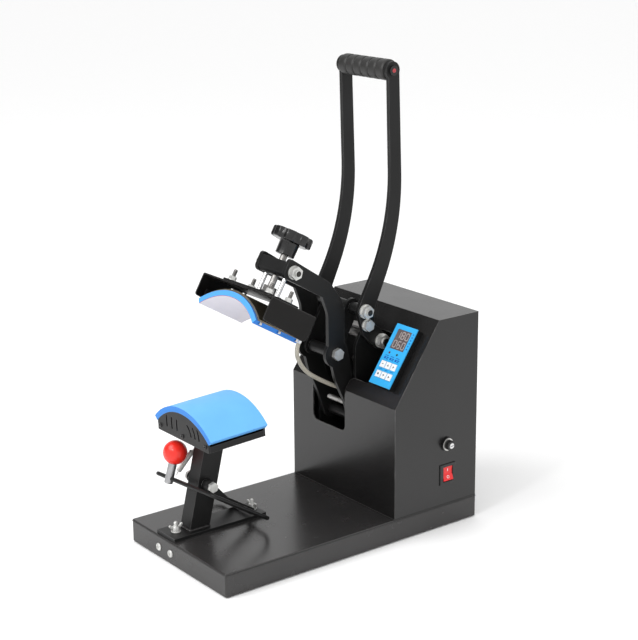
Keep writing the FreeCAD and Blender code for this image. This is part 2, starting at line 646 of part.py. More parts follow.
def make_handle():
    outline = [(152.6, 665.0, 4.0), (160.0, 434.0, 340.0), (107.6, 319.0, 6.0), (109.5, 297.5, 5.0),
               (120.5, 288.5, 8.0), (127.5, 265.0, 4.0), (111.0, 261.0, 3.0), (88.6, 283.5, 5.0),
               (77.0, 322.3, 8.0), (139.0, 436.5, 310.0), (133.4, 665.0, 4.0)]
    for name, side in (("handle_bar_left", -1), ("handle_bar_right", 1)):
        p, q = PRESS_X + side * BAR_IN, PRESS_X + side * BAR_OUT
        x0, x1 = min(p, q), max(p, q)
        bar = rounded_plate(outline, x0, x1)
        bar = fuse([bar, rod_x(x0, x1, GRIP, 12.5), rod_x(x0, x1, HANDLE_PIVOT, 13.0)])
        bar = bar.cut(rod_x(x0 - 1, x1 + 1, HANDLE_PIVOT, 5.95 + FIT))
        bar = bar.cut(rod_x(x0 - 1, x1 + 1, CRANK_PIN, 5.0))
        bar = bar.cut(rod_x(x0 - 1, x1 + 1, HANDLE_BOLT, 4.0))
        bar = bar.cut(rod_x(x0 - 1, x1 + 1, GRIP, 5.0))
        save(name, bar)
    # crank bolts with tubes that reach from each bar to the link, and one hex bolt below each
    bolts = []
    for side in (-1, 1):
        p, q = PRESS_X + side * (LINK_OUT + 0.6), PRESS_X + side * BAR_IN
        spacer = rod_x(min(p, q), max(p, q), CRANK_PIN, 8.0)
        p, q = PRESS_X + side * BAR_OUT, PRESS_X + side * (BAR_OUT + 2.5)
        washer = rod_x(min(p, q), max(p, q), CRANK_PIN, 10.5)
        p, q = PRESS_X + side * (BAR_OUT + 2.5), PRESS_X + side * (BAR_OUT + 9.5)
        head = hex_x(min(p, q), max(p, q), CRANK_PIN, 17.0)
        p, q = PRESS_X + side * BAR_IN, PRESS_X + side * (BAR_OUT + 12.5)
        shank = rod_x(min(p, q), max(p, q), CRANK_PIN, 4.95)
        bolts.append(fuse([spacer, washer, head, shank]))
        p, q = PRESS_X + side * (BAR_OUT + 1.8), PRESS_X + side * (BAR_OUT + 8.0)
        head = hex_x(min(p, q), max(p, q), HANDLE_BOLT, 15.0)
        p, q = PRESS_X + side * BAR_OUT, PRESS_X + side * (BAR_OUT + 1.8)
        flange = rod_x(min(p, q), max(p, q), HANDLE_BOLT, 9.2)
        p, q = PRESS_X + side * BAR_IN, PRESS_X + side * (BAR_OUT + 2.0)
        shank = rod_x(min(p, q), max(p, q), HANDLE_BOLT, 3.95)
        bolts.append(fuse([head, flange, shank]))
    save("handle_bolts", group(bolts))
    # grip with finger ridges on a steel tie rod
    length = BAR_IN - 0.2
    grip = rod_x(PRESS_X - length, PRESS_X + length, GRIP, GRIP_R - 1.6)
    ridge = 2 * length / GRIP_RIDGES
    for i in range(GRIP_RIDGES):
        x0 = PRESS_X - length + ridge * i + 1.5
        ring = rod_x(x0, x0 + ridge - 3.0, GRIP, GRIP_R)
        ring = ring.makeFillet(1.5, [e for e in ring.Edges if e.BoundBox.XLength < 0.01])
        grip = grip.fuse(ring)
    save("hand_grip", grip.cut(rod_x(-200, 200, GRIP, 5.0)))
    bar = rod_x(PRESS_X - BAR_OUT, PRESS_X + BAR_OUT, GRIP, 4.95)
    caps = []
    for side in (-1, 1):
        p, q = PRESS_X + side * BAR_OUT, PRESS_X + side * (BAR_OUT + 3.0)
        caps.append(rod_x(min(p, q), max(p, q), GRIP, 7.0))
    save("grip_rod", fuse([bar] + caps))


# ================================================================ platen, post and foot

def make_platen():
    half_angle = math.degrees(math.asin(PAD_HALF / PAD_R))
    save("platen_pad", in_platen(arch(PAD_R - PAD_T, PAD_R, half_angle, 0, PLATEN_L, -PAD_R)))
    plate = arch(88.5, PAD_R - PAD_T - 0.05, half_angle - 3.0, 4.0, PLATEN_L - 4.0, -PAD_R)
    save("platen_plate", in_platen(plate))
    side_top = -PAD_R + math.sqrt(88.3 ** 2 - PLATEN_HALF ** 2)
    outer = box(-PLATEN_HALF, PLATEN_HALF, 3.2, PLATEN_L - 3.2, PLATEN_LOW, side_top)
    inner = box(-PLATEN_HALF + 2.5, PLATEN_HALF - 2.5, 2, PLATEN_L, PLATEN_LOW + 3.0, 0)
    save("platen_tray", in_platen(outer.cut(inner)))
    for name, u0 in (("platen_cap_front", 0.2), ("platen_cap_rear", PLATEN_L - 3.2)):
        save(name, in_platen(platen_cap(u0, 3.0, name == "platen_cap_front")))
    screws = []
    for u, way in ((0.2, -1), (PLATEN_L - 0.2, 1)):
        for x, w in ((-57.0, -40.0), (57.0, -40.0), (0.0, -41.0)):
            screws.append(Part.makeCylinder(3.2, 1.8, V(x, u, w), V(0, way, 0)))
    save("platen_screws", in_platen(group(screws)))


def platen_cap(u0, thick, slotted):
    """End plate: flat bottom, arched top that follows the underside of the pad."""
    r = PAD_R - PAD_T - 0.1
    x = PLATEN_HALF
    low_l, low_r = V(-x, u0, PLATEN_LOW), V(x, u0, PLATEN_LOW)
    top_w = -PAD_R + math.sqrt(r ** 2 - x ** 2)
    edges = [Part.LineSegment(low_l, low_r).toShape(),
             Part.LineSegment(low_r, V(x, u0, top_w)).toShape(),
             Part.Arc(V(x, u0, top_w), V(0, u0, -PAD_R + r), V(-x, u0, top_w)).toShape(),
             Part.LineSegment(V(-x, u0, top_w), low_l).toShape()]
    cap = Part.Face(Part.Wire(edges)).extrude(V(0, thick, 0))
    if slotted:
        for x in (-40.0, -27.0, -14.0):
            cap = cap.cut(box(x - 1.6, x + 1.6, u0 - 1, u0 + thick + 1, -38.0, -20.0))
        for r in (24.0, 34.0, 44.0):
            ring = Part.makeCylinder(r + 1.5, thick + 2, V(-2.0, u0 - 1, -40.0), V(0, 1, 0))
            ring = ring.cut(Part.makeCylinder(r - 1.5, thick + 4, V(-2.0, u0 - 2, -40.0), V(0, 1, 0)))
            ring = ring.common(box(0, 70, u0 - 1, u0 + thick + 1, -37.0, -21.0))
            cap = cap.cut(ring)
    return cap


def post_front(z):
    return -163.0 - (151.0 - z) * POST_LEAN


def make_post():
    z0 = BASE_TOP + FOOT_PLATE_T
    tilt = math.tan(math.radians(PLATEN_TILT))
    anchor = in_platen(Part.Vertex(0, 0, PLATEN_LOW)).Point

    def under_platen(y):
        return anchor.z + (y - anchor.y) * tilt

    def cross(shift):
        """Height where the post's line, moved back by shift, meets the platen's underside."""
        z = 172.0
        for _ in range(20):
            z = under_platen(post_front(z) + shift)
        return z

    def outline(inset):
        a, b = inset, POST_D - inset
        za, zb = cross(a), cross(b)
        return [(post_front(z0) + a, z0), (post_front(za) + a, za),
                (post_front(zb) + b, zb), (post_front(z0) + b, z0)]
    half = POST_W / 2
    post = plate_x(outline(0), PRESS_X - half, PRESS_X + half)
    post = post.cut(plate_x(outline(2.5), PRESS_X - half + 2.5, PRESS_X + half - 2.5))
    post = post.cut(rod_x(PRESS_X - half - 1, PRESS_X + half + 1, CLAMP_PIVOT, 5.0))
    save("post", post)
    plate = box(PRESS_X - 22.5, PRESS_X + 22.5, -222.0, -66.0, BASE_TOP, z0)
    for y in wing_bolt_y():
        plate = plate.cut(rod_z(PRESS_X, y, BASE_TOP - 1, z0 + 1, 3.1))
    save("foot_plate", plate)
    turned = (90.0, 0.0)
    bolts = [wing_bolt(PRESS_X, y, z0, turn) for y, turn in zip(wing_bolt_y(), turned)]
    save("wing_bolts", group(bolts))


def wing_bolt(x, y, z, turn):
    """Stud with a washer and a wing nut that clamps the foot plate to the base."""
    stud = rod_z(x, y, BASE_TOP - 8.0, z + 15.0, 3.0)
    washer = rod_z(x, y, z, z + 1.2, 7.0)
    hub = Part.makeCone(6.0, 4.5, 7.0, V(x, y, z + 1.2))
    wings = []
    for side in (-1, 1):
        a, b = x + side * 3.5, x + side * 11.0
        wing = box(min(a, b), max(a, b), y - 1.2, y + 1.2, z + 3.5, z + 11.0)
        wing.rotate(V(x, y, z), V(0, 0, 1), turn)
        wings.append(wing)
    return fuse([stud, washer, hub] + wings)


# ================================================================ cap clamp

def make_clamp():
    half = POST_W / 2
    bolt = rod_x(PRESS_X - 27.0, PRESS_X + 27.0, CLAMP_PIVOT, 4.95)
    head = hex_x(PRESS_X + 26.4, PRESS_X + 32.0, CLAMP_PIVOT, 13.0)
    nut = hex_x(PRESS_X - 32.0, PRESS_X - 26.4, CLAMP_PIVOT, 13.0)
    collars = [rod_x(PRESS_X + half, PRESS_X + 21.6, CLAMP_PIVOT, 8.0),
               rod_x(PRESS_X - 21.6, PRESS_X - half, CLAMP_PIVOT, 8.0)]
    save("clamp_bolt", fuse([bolt, head, nut] + collars))
    # closed hoop of round bar that passes in front of the post and behind it
    left, right = PRESS_X - HOOP_HALF, PRESS_X + HOOP_HALF

    def on_hoop(x, point):
        return V(x, point[0], point[1] - HOOP_ROLL * (right - x))
    rear_r, front_r = 26.0, 9.0
    points = [on_hoop(PRESS_X, HOOP_REAR), on_hoop(left, HOOP_REAR), on_hoop(left, HOOP_FRONT),
              on_hoop(right, HOOP_FRONT), on_hoop(right, HOOP_REAR), on_hoop(PRESS_X + 1.0, HOOP_REAR)]
    hoop = round_rod(points, (rear_r, front_r, front_r, rear_r), HOOP_ROD)
    joint_a, joint_b = on_hoop(PRESS_X - 1.0, HOOP_REAR), on_hoop(PRESS_X + 2.0, HOOP_REAR)
    way = joint_b - joint_a
    weld = Part.makeCylinder(HOOP_ROD + 0.4, way.Length, joint_a, way.normalize())
    # two flat arms, welded to the rear bar, carry it on the bolt
    arms = []
    for side in (-1, 1):
        p, q = PRESS_X + side * 22.0, PRESS_X + side * 26.0
        x0, x1 = min(p, q), max(p, q)
        end = on_hoop((x0 + x1) / 2, HOOP_REAR)
        path = [CLAMP_PIVOT, (-137.0, 78.0), (end.y - 2.5, end.z + 2.5)]
        arm = bend_bar(path, (20.0,), 5.0, x0, x1)
        arm = fuse([arm, rod_x(x0, x1, CLAMP_PIVOT, 8.5)])
        arms.append(arm.cut(rod_x(x0 - 1, x1 + 1, CLAMP_PIVOT, 4.95 + FIT)))
    save("clamp_hoop", fuse([hoop, weld] + arms))
    base = V(LEVER_X, LEVER_FOOT[0], LEVER_FOOT[1])
    axis = V(0, LEVER_LEAN[0], LEVER_LEAN[1])
    sleeve_r, sleeve_l, ball_at = 6.2, 34.0, 45.4
    sleeve = Part.makeCylinder(sleeve_r, sleeve_l, base, axis)
    sleeve = sleeve.makeFillet(1.5, [e for e in sleeve.Edges if e.Curve.TypeId == "Part::GeomCircle"])
    save("clamp_lever", sleeve.cut(hoop))
    ball = Part.makeSphere(BALL_R, base + axis * ball_at)
    save("ball_knob", ball.cut(Part.makeCylinder(sleeve_r, sleeve_l, base, axis)))
    # return spring between the hoop's left leg and the platen, a plain closed tube
    way = SPRING_TOP - SPRING_FOOT
    length = way.Length
    way.normalize()
    save("clamp_spring", Part.makeCylinder(4.0, length, SPRING_FOOT, way))


# ================================================================ controls

def make_controls():
    case = box(PANEL_X0, PANEL_X1, PANEL_S0, PANEL_S1, 0, PANEL_H - 1.5)
    case = fillet_along(case, 2.0, is_vertical)
    hollow = box(PANEL_X0 + 2, PANEL_X1 - 2, PANEL_S0 + 2, PANEL_S1 - 2, -1, PANEL_H - 3.5)
    case = case.cut(hollow)
    window = box(65.0, 94.5, 79.5, 110.0, 0, 20)
    case = case.cut(window)
    face = box(PANEL_X0 + 0.4, PANEL_X1 - 0.4, PANEL_S0 + 0.4, PANEL_S1 - 0.4, PANEL_H - 1.5, PANEL_H)
    face = face.cut(window)
    for x in BUTTON_X:
        for s in BUTTON_S:
            hole = box(x - 5.3, x + 5.3, s - 5.3, s + 5.3, 0, 20)
            face = face.cut(hole)
            case = case.cut(box(x - 3.3, x + 3.3, s - 3.3, s + 3.3, 0, 20))
    save("control_case", on_slope(case))
    save("control_face", on_slope(face))
    pane = box(65.1, 94.4, 79.6, 109.9, PANEL_H - 3.2, PANEL_H - 0.3)
    save("display_window", on_slope(pane))
    board = box(PANEL_X0 + 3, PANEL_X1 - 3, PANEL_S0 + 3, PANEL_S1 - 3, 1.0, 2.6)
    save("circuit_board", on_slope(board))
    number = 0
    for s in BUTTON_S:
        for x in BUTTON_X:
            number += 1
            top = box(x - 5.0, x + 5.0, s - 5.0, s + 5.0, PANEL_H - 0.6, PANEL_H + 1.0)
            top = top.makeFillet(0.5, [e for e in top.Edges if e.BoundBox.ZMin > PANEL_H + 0.9])
            stem = box(x - 3.0, x + 3.0, s - 3.0, s + 3.0, PANEL_H - 5.0, PANEL_H - 0.6)
            save("button_%d" % number, on_slope(fuse([top, stem])))


def make_switches():
    half = BASE_W / 2
    outer = box(half, half + 2.0, ROCKER_Y - 14.7, ROCKER_Y + 14.7, ROCKER_Z - 15.9, ROCKER_Z + 15.9)
    outer = outer.makeFillet(1.2, [e for e in outer.Edges if e.BoundBox.XMin > half + 1.9])
    body = box(half - 22.0, half + 0.5, ROCKER_Y - 10.6, ROCKER_Y + 10.6,
               ROCKER_Z - 13.1, ROCKER_Z + 13.1)
    frame = fuse([outer, body])
    pocket = box(half - 14.0, half + 8, ROCKER_Y - 9.0, ROCKER_Y + 9.0, ROCKER_Z - 11.6, ROCKER_Z + 11.6)
    frame = frame.cut(pocket)
    pin_r = 1.5
    pin_from = V(half - 5.0, ROCKER_Y - 9.8, ROCKER_Z)
    bearing = Part.makeCylinder(pin_r + FIT, 19.6, pin_from, V(0, 1, 0))
    save("rocker_frame", frame.cut(bearing))
    # rocker: shallow V seen from the side, with its lower half pressed in
    pivot = V(half - 5.0, ROCKER_Y, ROCKER_Z)
    outline = [(0.0, -10.6), (7.4, -10.4), (5.4, 0.0), (7.4, 10.4), (0.0, 10.6), (-3.5, 0.0)]
    pts = [V(pivot.x + a, ROCKER_Y - 8.8, ROCKER_Z + b) for a, b in outline]
    rocker = Part.Face(Part.makePolygon(pts + pts[:1])).extrude(V(0, 17.6, 0))
    rocker = rocker.fuse(Part.makeCylinder(pin_r, 19.4, pin_from + V(0, 0.1, 0), V(0, 1, 0)))
    rocker.rotate(pivot, V(0, 1, 0), ROCKER_TILT)
    save("power_rocker", rocker)
    flange = rod_x(half, half + 3.0, (FUSE_Y, FUSE_Z), 10.8)
    barrel = rod_x(half - 30.0, half, (FUSE_Y, FUSE_Z), 6.1)
    cap = rod_x(half + 3.0, half + 11.0, (FUSE_Y, FUSE_Z), 7.0)
    save("fuse_holder", fuse([flange, barrel, cap]))
    body = box(INLET_X - 14.0, INLET_X + 14.0, REAR_Y - 22.0, REAR_Y + 0.5, INLET_Z - 10.0, INLET_Z + 10.0)
    flange = box(INLET_X - 25.0, INLET_X + 25.0, REAR_Y, REAR_Y + 3.0, INLET_Z - 12.0, INLET_Z + 12.0)
    flange = flange.makeFillet(4.0, [e for e in flange.Edges if e.BoundBox.YLength > 2.9])
    inlet = fuse([body, flange])
    socket = box(INLET_X - 11.5, INLET_X + 11.5, REAR_Y - 15.0, REAR_Y + 4.0, INLET_Z - 7.5, INLET_Z + 7.5)
    socket = socket.makeChamfer(3.0, [e for e in socket.Edges if e.BoundBox.YLength > 10
                                      and e.BoundBox.ZMin > INLET_Z])
    pins = [box(INLET_X + dx - 1.0, INLET_X + dx + 1.0, REAR_Y - 15.5, REAR_Y - 1.0,
                INLET_Z + dz - 2.0, INLET_Z + dz + 2.0) for dx, dz in ((-7, -2.5), (0, 2.5), (7, -2.5))]
    save("power_inlet", fuse([inlet.cut(socket)] + pins))
    core = box(35.0, 95.0, 90.0, 140.0, BASE_TOP, BASE_TOP + 52.0)
    winding = box(43.0, 87.0, 82.0, 148.0, BASE_TOP + 11.0, BASE_TOP + 41.0)
    terminal = box(-46.0, -16.0, 118.0, 138.0, BASE_TOP, BASE_TOP + 24.0)
    save("transformer", group([fuse([core, winding]), terminal]))


# ================================================================ heater lead

LEAD_R = 3.1
LEAD_ROUTE = ((66.0, -33.5, 304.3), (61.0, -37.3, 288.8), (50.0, -24.6, 266.1),
              (38.0, -2.0, 242.3), (27.0, 31.3, 221.4), (20.0, 65.0, 202.4),
              (13.0, 96.0, 190.0), (5.0, 122.0, 170.0), (1.0, 130.0, 140.0),
              (-2.0, 127.0, 100.0), (-1.0, 128.5, 59.2))


def make_lead():
    points = [V(PRESS_X + x, y, z) for x, y, z in LEAD_ROUTE]
    radii = []
    for i in range(1, len(points) - 1):
        a = points[i] - points[i - 1]
        b = points[i + 1] - points[i]
        radii.append(0.45 * min(a.Length, b.Length) / math.tan(a.getAngle(b) / 2))
    print("lead radii", [round(r, 1) for r in radii])
    save("heater_lead", round_rod(points, radii, LEAD_R))


make_base()
make_feet()
make_housing_screws()
make_housing()
make_rear_cover()
make_frame()
make_frame_tubes()
make_pivots()
make_arm()
make_channel()
make_head()
make_knob()
make_link()
make_handle()
make_platen()
make_post()
make_clamp()
make_controls()
make_switches()
make_lead()
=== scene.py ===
import json
import math

import bmesh
import bpy
from mathutils import Matrix, Vector


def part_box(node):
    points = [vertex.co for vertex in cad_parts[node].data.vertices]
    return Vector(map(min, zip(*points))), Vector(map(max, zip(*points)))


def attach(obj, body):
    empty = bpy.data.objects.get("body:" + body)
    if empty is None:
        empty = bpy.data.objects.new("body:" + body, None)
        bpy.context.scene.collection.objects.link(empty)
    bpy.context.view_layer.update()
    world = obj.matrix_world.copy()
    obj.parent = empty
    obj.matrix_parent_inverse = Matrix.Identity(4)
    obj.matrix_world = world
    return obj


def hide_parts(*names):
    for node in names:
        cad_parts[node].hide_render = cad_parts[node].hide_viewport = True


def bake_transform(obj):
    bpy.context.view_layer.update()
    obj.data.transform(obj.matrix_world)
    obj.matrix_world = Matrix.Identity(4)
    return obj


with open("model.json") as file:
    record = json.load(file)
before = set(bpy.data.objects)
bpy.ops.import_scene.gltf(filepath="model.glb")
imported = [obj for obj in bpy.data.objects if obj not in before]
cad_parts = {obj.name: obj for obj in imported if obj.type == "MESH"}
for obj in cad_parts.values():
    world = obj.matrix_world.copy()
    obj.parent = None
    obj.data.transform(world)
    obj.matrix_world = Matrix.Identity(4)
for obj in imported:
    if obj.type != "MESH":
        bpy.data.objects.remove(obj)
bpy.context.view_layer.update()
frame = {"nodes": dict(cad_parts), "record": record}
NODES = frame["nodes"]
RECORD_SLOT = {s["node"]: s["material_slot"] for s in frame["record"]["subparts"]}
MM = 0.001


# ---------------------------------------------------------------- places

def middle(node):
    """Middle of a node's box, in metres."""
    low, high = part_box(node)
    return (low + high) / 2


PRESS_X = middle("arm_shaft").x      # middle plane of the arm, the head and the platen
PRESS_X_MM = PRESS_X / MM
BASE_LOW, BASE_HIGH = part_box("base_tray")
GRIP_AT = middle("hand_grip")
CLAMP_AT = middle("clamp_bolt")

# (Y, Z) in mm of the linkage's pins
LINK_PIN = (55.0, 258.0)             # arm to link
CRANK_PIN = (90.5, 320.2)            # handle to link
HANDLE_PIVOT = (120.0, 271.0)

# lean, and (Y, Z) of the origin, of the axes of the head, the platen and the slope
HEAD_TILT = math.radians(30.5)
HEAD_FRONT = (-113.3 * MM, 342.0 * MM)
PLATEN_TILT = math.radians(2.5)
PLATEN_FRONT = (-190.5 * MM, 218.9 * MM)
SLOPE_FOOT = (67.0 * MM, 201.0 * MM)
SLOPE_TILT = math.atan2(117.0, 80.4)
SCREW_U = 55.5                       # pressure screw, in mm along the head from its front


def tilted(origin, angle):
    """Matrix from (across, along, up) in mm to the row frame, leaning by angle about X."""
    place = Matrix.Translation((0, origin[0], origin[1]))
    return place @ Matrix.Rotation(angle, 4, "X") @ Matrix.Scale(MM, 4)


TO_HEAD = Matrix.Translation((PRESS_X, 0, 0)) @ tilted(HEAD_FRONT, -HEAD_TILT)
TO_PLATEN = Matrix.Translation((PRESS_X, 0, 0)) @ tilted(PLATEN_FRONT, PLATEN_TILT)
TO_SLOPE = tilted(SLOPE_FOOT, SLOPE_TILT)
TO_ROW = Matrix.Scale(MM, 4)
UNMOVED = Matrix.Identity(4)
SIDES = (-1, 1)                      # left and right of the press


# ---------------------------------------------------------------- camera

CAMERA_AT = Vector((1.7283, -1.2886, 0.9433))
CAMERA_AZIMUTH = 52.75               # degrees round from the front
CAMERA_ELEVATION = 16.17
CAMERA_ROLL = -0.52
CAMERA_LENS = 89.35                  # mm on a 36 mm sensor


def make_camera():
    data = bpy.data.cameras.new("camera")
    data.lens = CAMERA_LENS
    data.sensor_width = 36.0
    data.clip_end = 50.0
    camera = bpy.data.objects.new("camera", data)
    bpy.context.scene.collection.objects.link(camera)
    azimuth = math.radians(CAMERA_AZIMUTH)
    elevation = math.radians(CAMERA_ELEVATION)
    back = Vector((math.sin(azimuth) * math.cos(elevation),
                   -math.cos(azimuth) * math.cos(elevation),
                   math.sin(elevation)))
    roll = Matrix.Rotation(math.radians(CAMERA_ROLL), 4, "Z").to_quaternion()
    camera.rotation_mode = "QUATERNION"
    camera.rotation_quaternion = back.to_track_quat("Z", "Y") @ roll
    camera.location = CAMERA_AT
    bpy.context.scene.camera = camera


# ---------------------------------------------------------------- materials

# sockets of the colour mix node
MIX_A, MIX_B, MIX_OUT = 6, 7, 2


class Nodes:
    """Short calls for building one material's node tree."""

    def __init__(self, name):
        self.material = bpy.data.materials.new(name)
        self.material.use_nodes = True
        self.tree = self.material.node_tree
        self.shader = self.tree.nodes["Principled BSDF"]
        self.coords = self.add("ShaderNodeTexCoord")

    def add(self, kind, **settings):
        node = self.tree.nodes.new(kind)
        for key, value in settings.items():
            setattr(node, key, value)
        return node

    def link(self, source, target):
        self.tree.links.new(source, target)

    def noise(self, scale, detail=2.0, stretch=None):
        """Noise fixed to the piece; stretch scales it along each axis."""
        node = self.add("ShaderNodeTexNoise")
        node.inputs["Scale"].default_value = scale
        node.inputs["Detail"].default_value = detail
        where = self.coords.outputs["Object"]
        if stretch:
            mapping = self.add("ShaderNodeMapping")
            mapping.inputs["Scale"].default_value = stretch
            self.link(where, mapping.inputs["Vector"])
            where = mapping.outputs["Vector"]
        self.link(where, node.inputs["Vector"])
        return node.outputs["Fac"]

    def spread(self, value, low, high, from_low=0.3, from_high=0.7):
        """Value mapped from one range to another."""
        node = self.add("ShaderNodeMapRange")
        node.inputs["From Min"].default_value = from_low
        node.inputs["From Max"].default_value = from_high
        node.inputs["To Min"].default_value = low
        node.inputs["To Max"].default_value = high
        self.link(value, node.inputs["Value"])
        return node.outputs["Result"]

    def times(self, a, b):
        node = self.add("ShaderNodeMath", operation="MULTIPLY")
        self.link(a, node.inputs[0])
        self.link(b, node.inputs[1])
        return node.outputs[0]

    def mix(self, factor, a, b):
        """Colour a where factor is 0 and b where it is 1; each is a colour or a socket."""
        node = self.add("ShaderNodeMix", data_type="RGBA")
        self.link(factor, node.inputs["Factor"])
        for value, socket in ((a, node.inputs[MIX_A]), (b, node.inputs[MIX_B])):
            if isinstance(value, tuple):
                socket.default_value = (*value, 1)
            else:
                self.link(value, socket)
        return node.outputs[MIX_OUT]

    def edges(self, radius):
        """0 on flat faces and rising to 1 along sharp edges."""
        bevel = self.add("ShaderNodeBevel", samples=4)
        bevel.inputs["Radius"].default_value = radius
        geometry = self.add("ShaderNodeNewGeometry")
        dot = self.add("ShaderNodeVectorMath", operation="DOT_PRODUCT")
        self.link(bevel.outputs["Normal"], dot.inputs[0])
        self.link(geometry.outputs["Normal"], dot.inputs[1])
        return self.spread(dot.outputs["Value"], 1.0, 0.0, 0.82, 0.99)

    def facing(self, axis, low, high):
        """1 where the surface faces along axis or against it, at rest."""
        dot = self.add("ShaderNodeVectorMath", operation="DOT_PRODUCT")
        self.link(self.coords.outputs["Normal"], dot.inputs[0])
        dot.inputs[1].default_value = axis
        size = self.add("ShaderNodeMath", operation="ABSOLUTE")
        self.link(dot.outputs["Value"], size.inputs[0])
        return self.spread(size.outputs[0], 0.0, 1.0, low, high)

    def bump(self, height, strength, distance):
        node = self.add("ShaderNodeBump")
        node.inputs["Strength"].default_value = strength
        node.inputs["Distance"].default_value = distance
        self.link(height, node.inputs["Height"])
        self.link(node.outputs["Normal"], self.shader.inputs["Normal"])


def shade(colour, share):
    """Colour made darker or lighter."""
    return tuple(min(1.0, c * share) for c in colour)


def painted(name, colour, rough, specular=0.5, edge_wear_and_shine=0.0, worn_and_shine_colour=(0.16, 0.16, 0.16), grain=1400.0,
            bump=0.12, coat=0.0, mottle=0.22):
    """Powder coat, moulded plastic or rubber: mottled colour, fine grain, and edges lightened by wear and
    a painted highlight.
    """
    n = Nodes(name)
    n.shader.inputs["Specular IOR Level"].default_value = specular
    n.shader.inputs["Coat Weight"].default_value = coat
    n.shader.inputs["Coat Roughness"].default_value = 0.15
    broad = n.spread(n.noise(14.0, 4.0), 0.0, 1.0)
    body = n.mix(broad, shade(colour, 1 - mottle), shade(colour, 1 + mottle))
    fine = n.noise(grain, 2.0)
    # lighter edges: partly wear, partly a painted highlight where an edge catches the light
    if edge_wear_and_shine:
        patches = n.spread(n.noise(60.0, 4.0), 0.25 * edge_wear_and_shine, edge_wear_and_shine, 0.35, 0.65)
        body = n.mix(n.times(n.edges(1.1 * MM), patches), body, worn_and_shine_colour)
    n.link(body, n.shader.inputs["Base Color"])
    smear = n.spread(n.noise(30.0, 5.0), rough * 0.93, rough * 1.08)
    n.link(smear, n.shader.inputs["Roughness"])
    n.bump(fine, bump, 0.15 * MM)
    return n.material


def metal(name, colour, rough, brushed=None, bump=0.1, share=1.0):
    """Plated or machined metal with faint stains; brushed stretches its grain along an axis."""
    n = Nodes(name)
    n.shader.inputs["Metallic"].default_value = share
    stain = n.spread(n.noise(90.0, 4.0), 0.0, 1.0)
    n.link(n.mix(stain, shade(colour, 0.84), shade(colour, 1.08)), n.shader.inputs["Base Color"])
    grain = n.noise(700.0, 3.0, brushed)
    n.link(n.spread(grain, rough * 0.75, rough * 1.3), n.shader.inputs["Roughness"])
    n.bump(grain, bump, 0.1 * MM)
    return n.material


def silicone(name, top, side, axis):
    """Sponge silicone sheet: fine cells, and another colour on the edges that face along axis."""
    n = Nodes(name)
    n.shader.inputs["Specular IOR Level"].default_value = 0.35
    # sides that face along axis take the side colour: painted shade on the pad's edges, the liner's own
    # orange-red edge
    facing_sides = n.facing(axis, 0.6, 0.8)
    broad = n.spread(n.noise(20.0, 3.0), 0.0, 1.0)
    face = n.mix(broad, shade(top, 0.95), shade(top, 1.04))
    n.link(n.mix(facing_sides, face, side), n.shader.inputs["Base Color"])
    cells = n.add("ShaderNodeTexVoronoi")
    cells.inputs["Scale"].default_value = 900.0
    n.link(n.coords.outputs["Object"], cells.inputs["Vector"])
    n.link(n.spread(n.noise(60.0, 3.0), 0.48, 0.62), n.shader.inputs["Roughness"])
    n.bump(cells.outputs["Distance"], 0.12, 0.2 * MM)
    return n.material


def woven(name, colour, dark):
    """Braided glass sleeve, from the tube's own along and round coordinates."""
    n = Nodes(name)
    waves = []
    for turn in (1.0, -1.0):
        mapping = n.add("ShaderNodeMapping")
        mapping.inputs["Rotation"].default_value = (0, 0, turn * math.radians(45))
        n.link(n.coords.outputs["UV"], mapping.inputs["Vector"])
        wave = n.add("ShaderNodeTexWave")
        wave.inputs["Scale"].default_value = 1.1
        wave.inputs["Distortion"].default_value = 0.4
        n.link(mapping.outputs["Vector"], wave.inputs["Vector"])
        waves.append(wave.outputs["Fac"])
    weave = n.times(*waves)
    n.link(n.mix(n.spread(weave, 0.0, 1.0, 0.0, 0.6), dark, colour), n.shader.inputs["Base Color"])
    n.link(n.spread(n.noise(200.0), 0.6, 0.8), n.shader.inputs["Roughness"])
    n.bump(weave, 0.5, 0.4 * MM)
    return n.material


EDGE_SHINE = (0.22, 0.215, 0.21)     # powder coat where an edge catches the light
HEAD_ALONG = (0, math.cos(HEAD_TILT), -math.sin(HEAD_TILT))


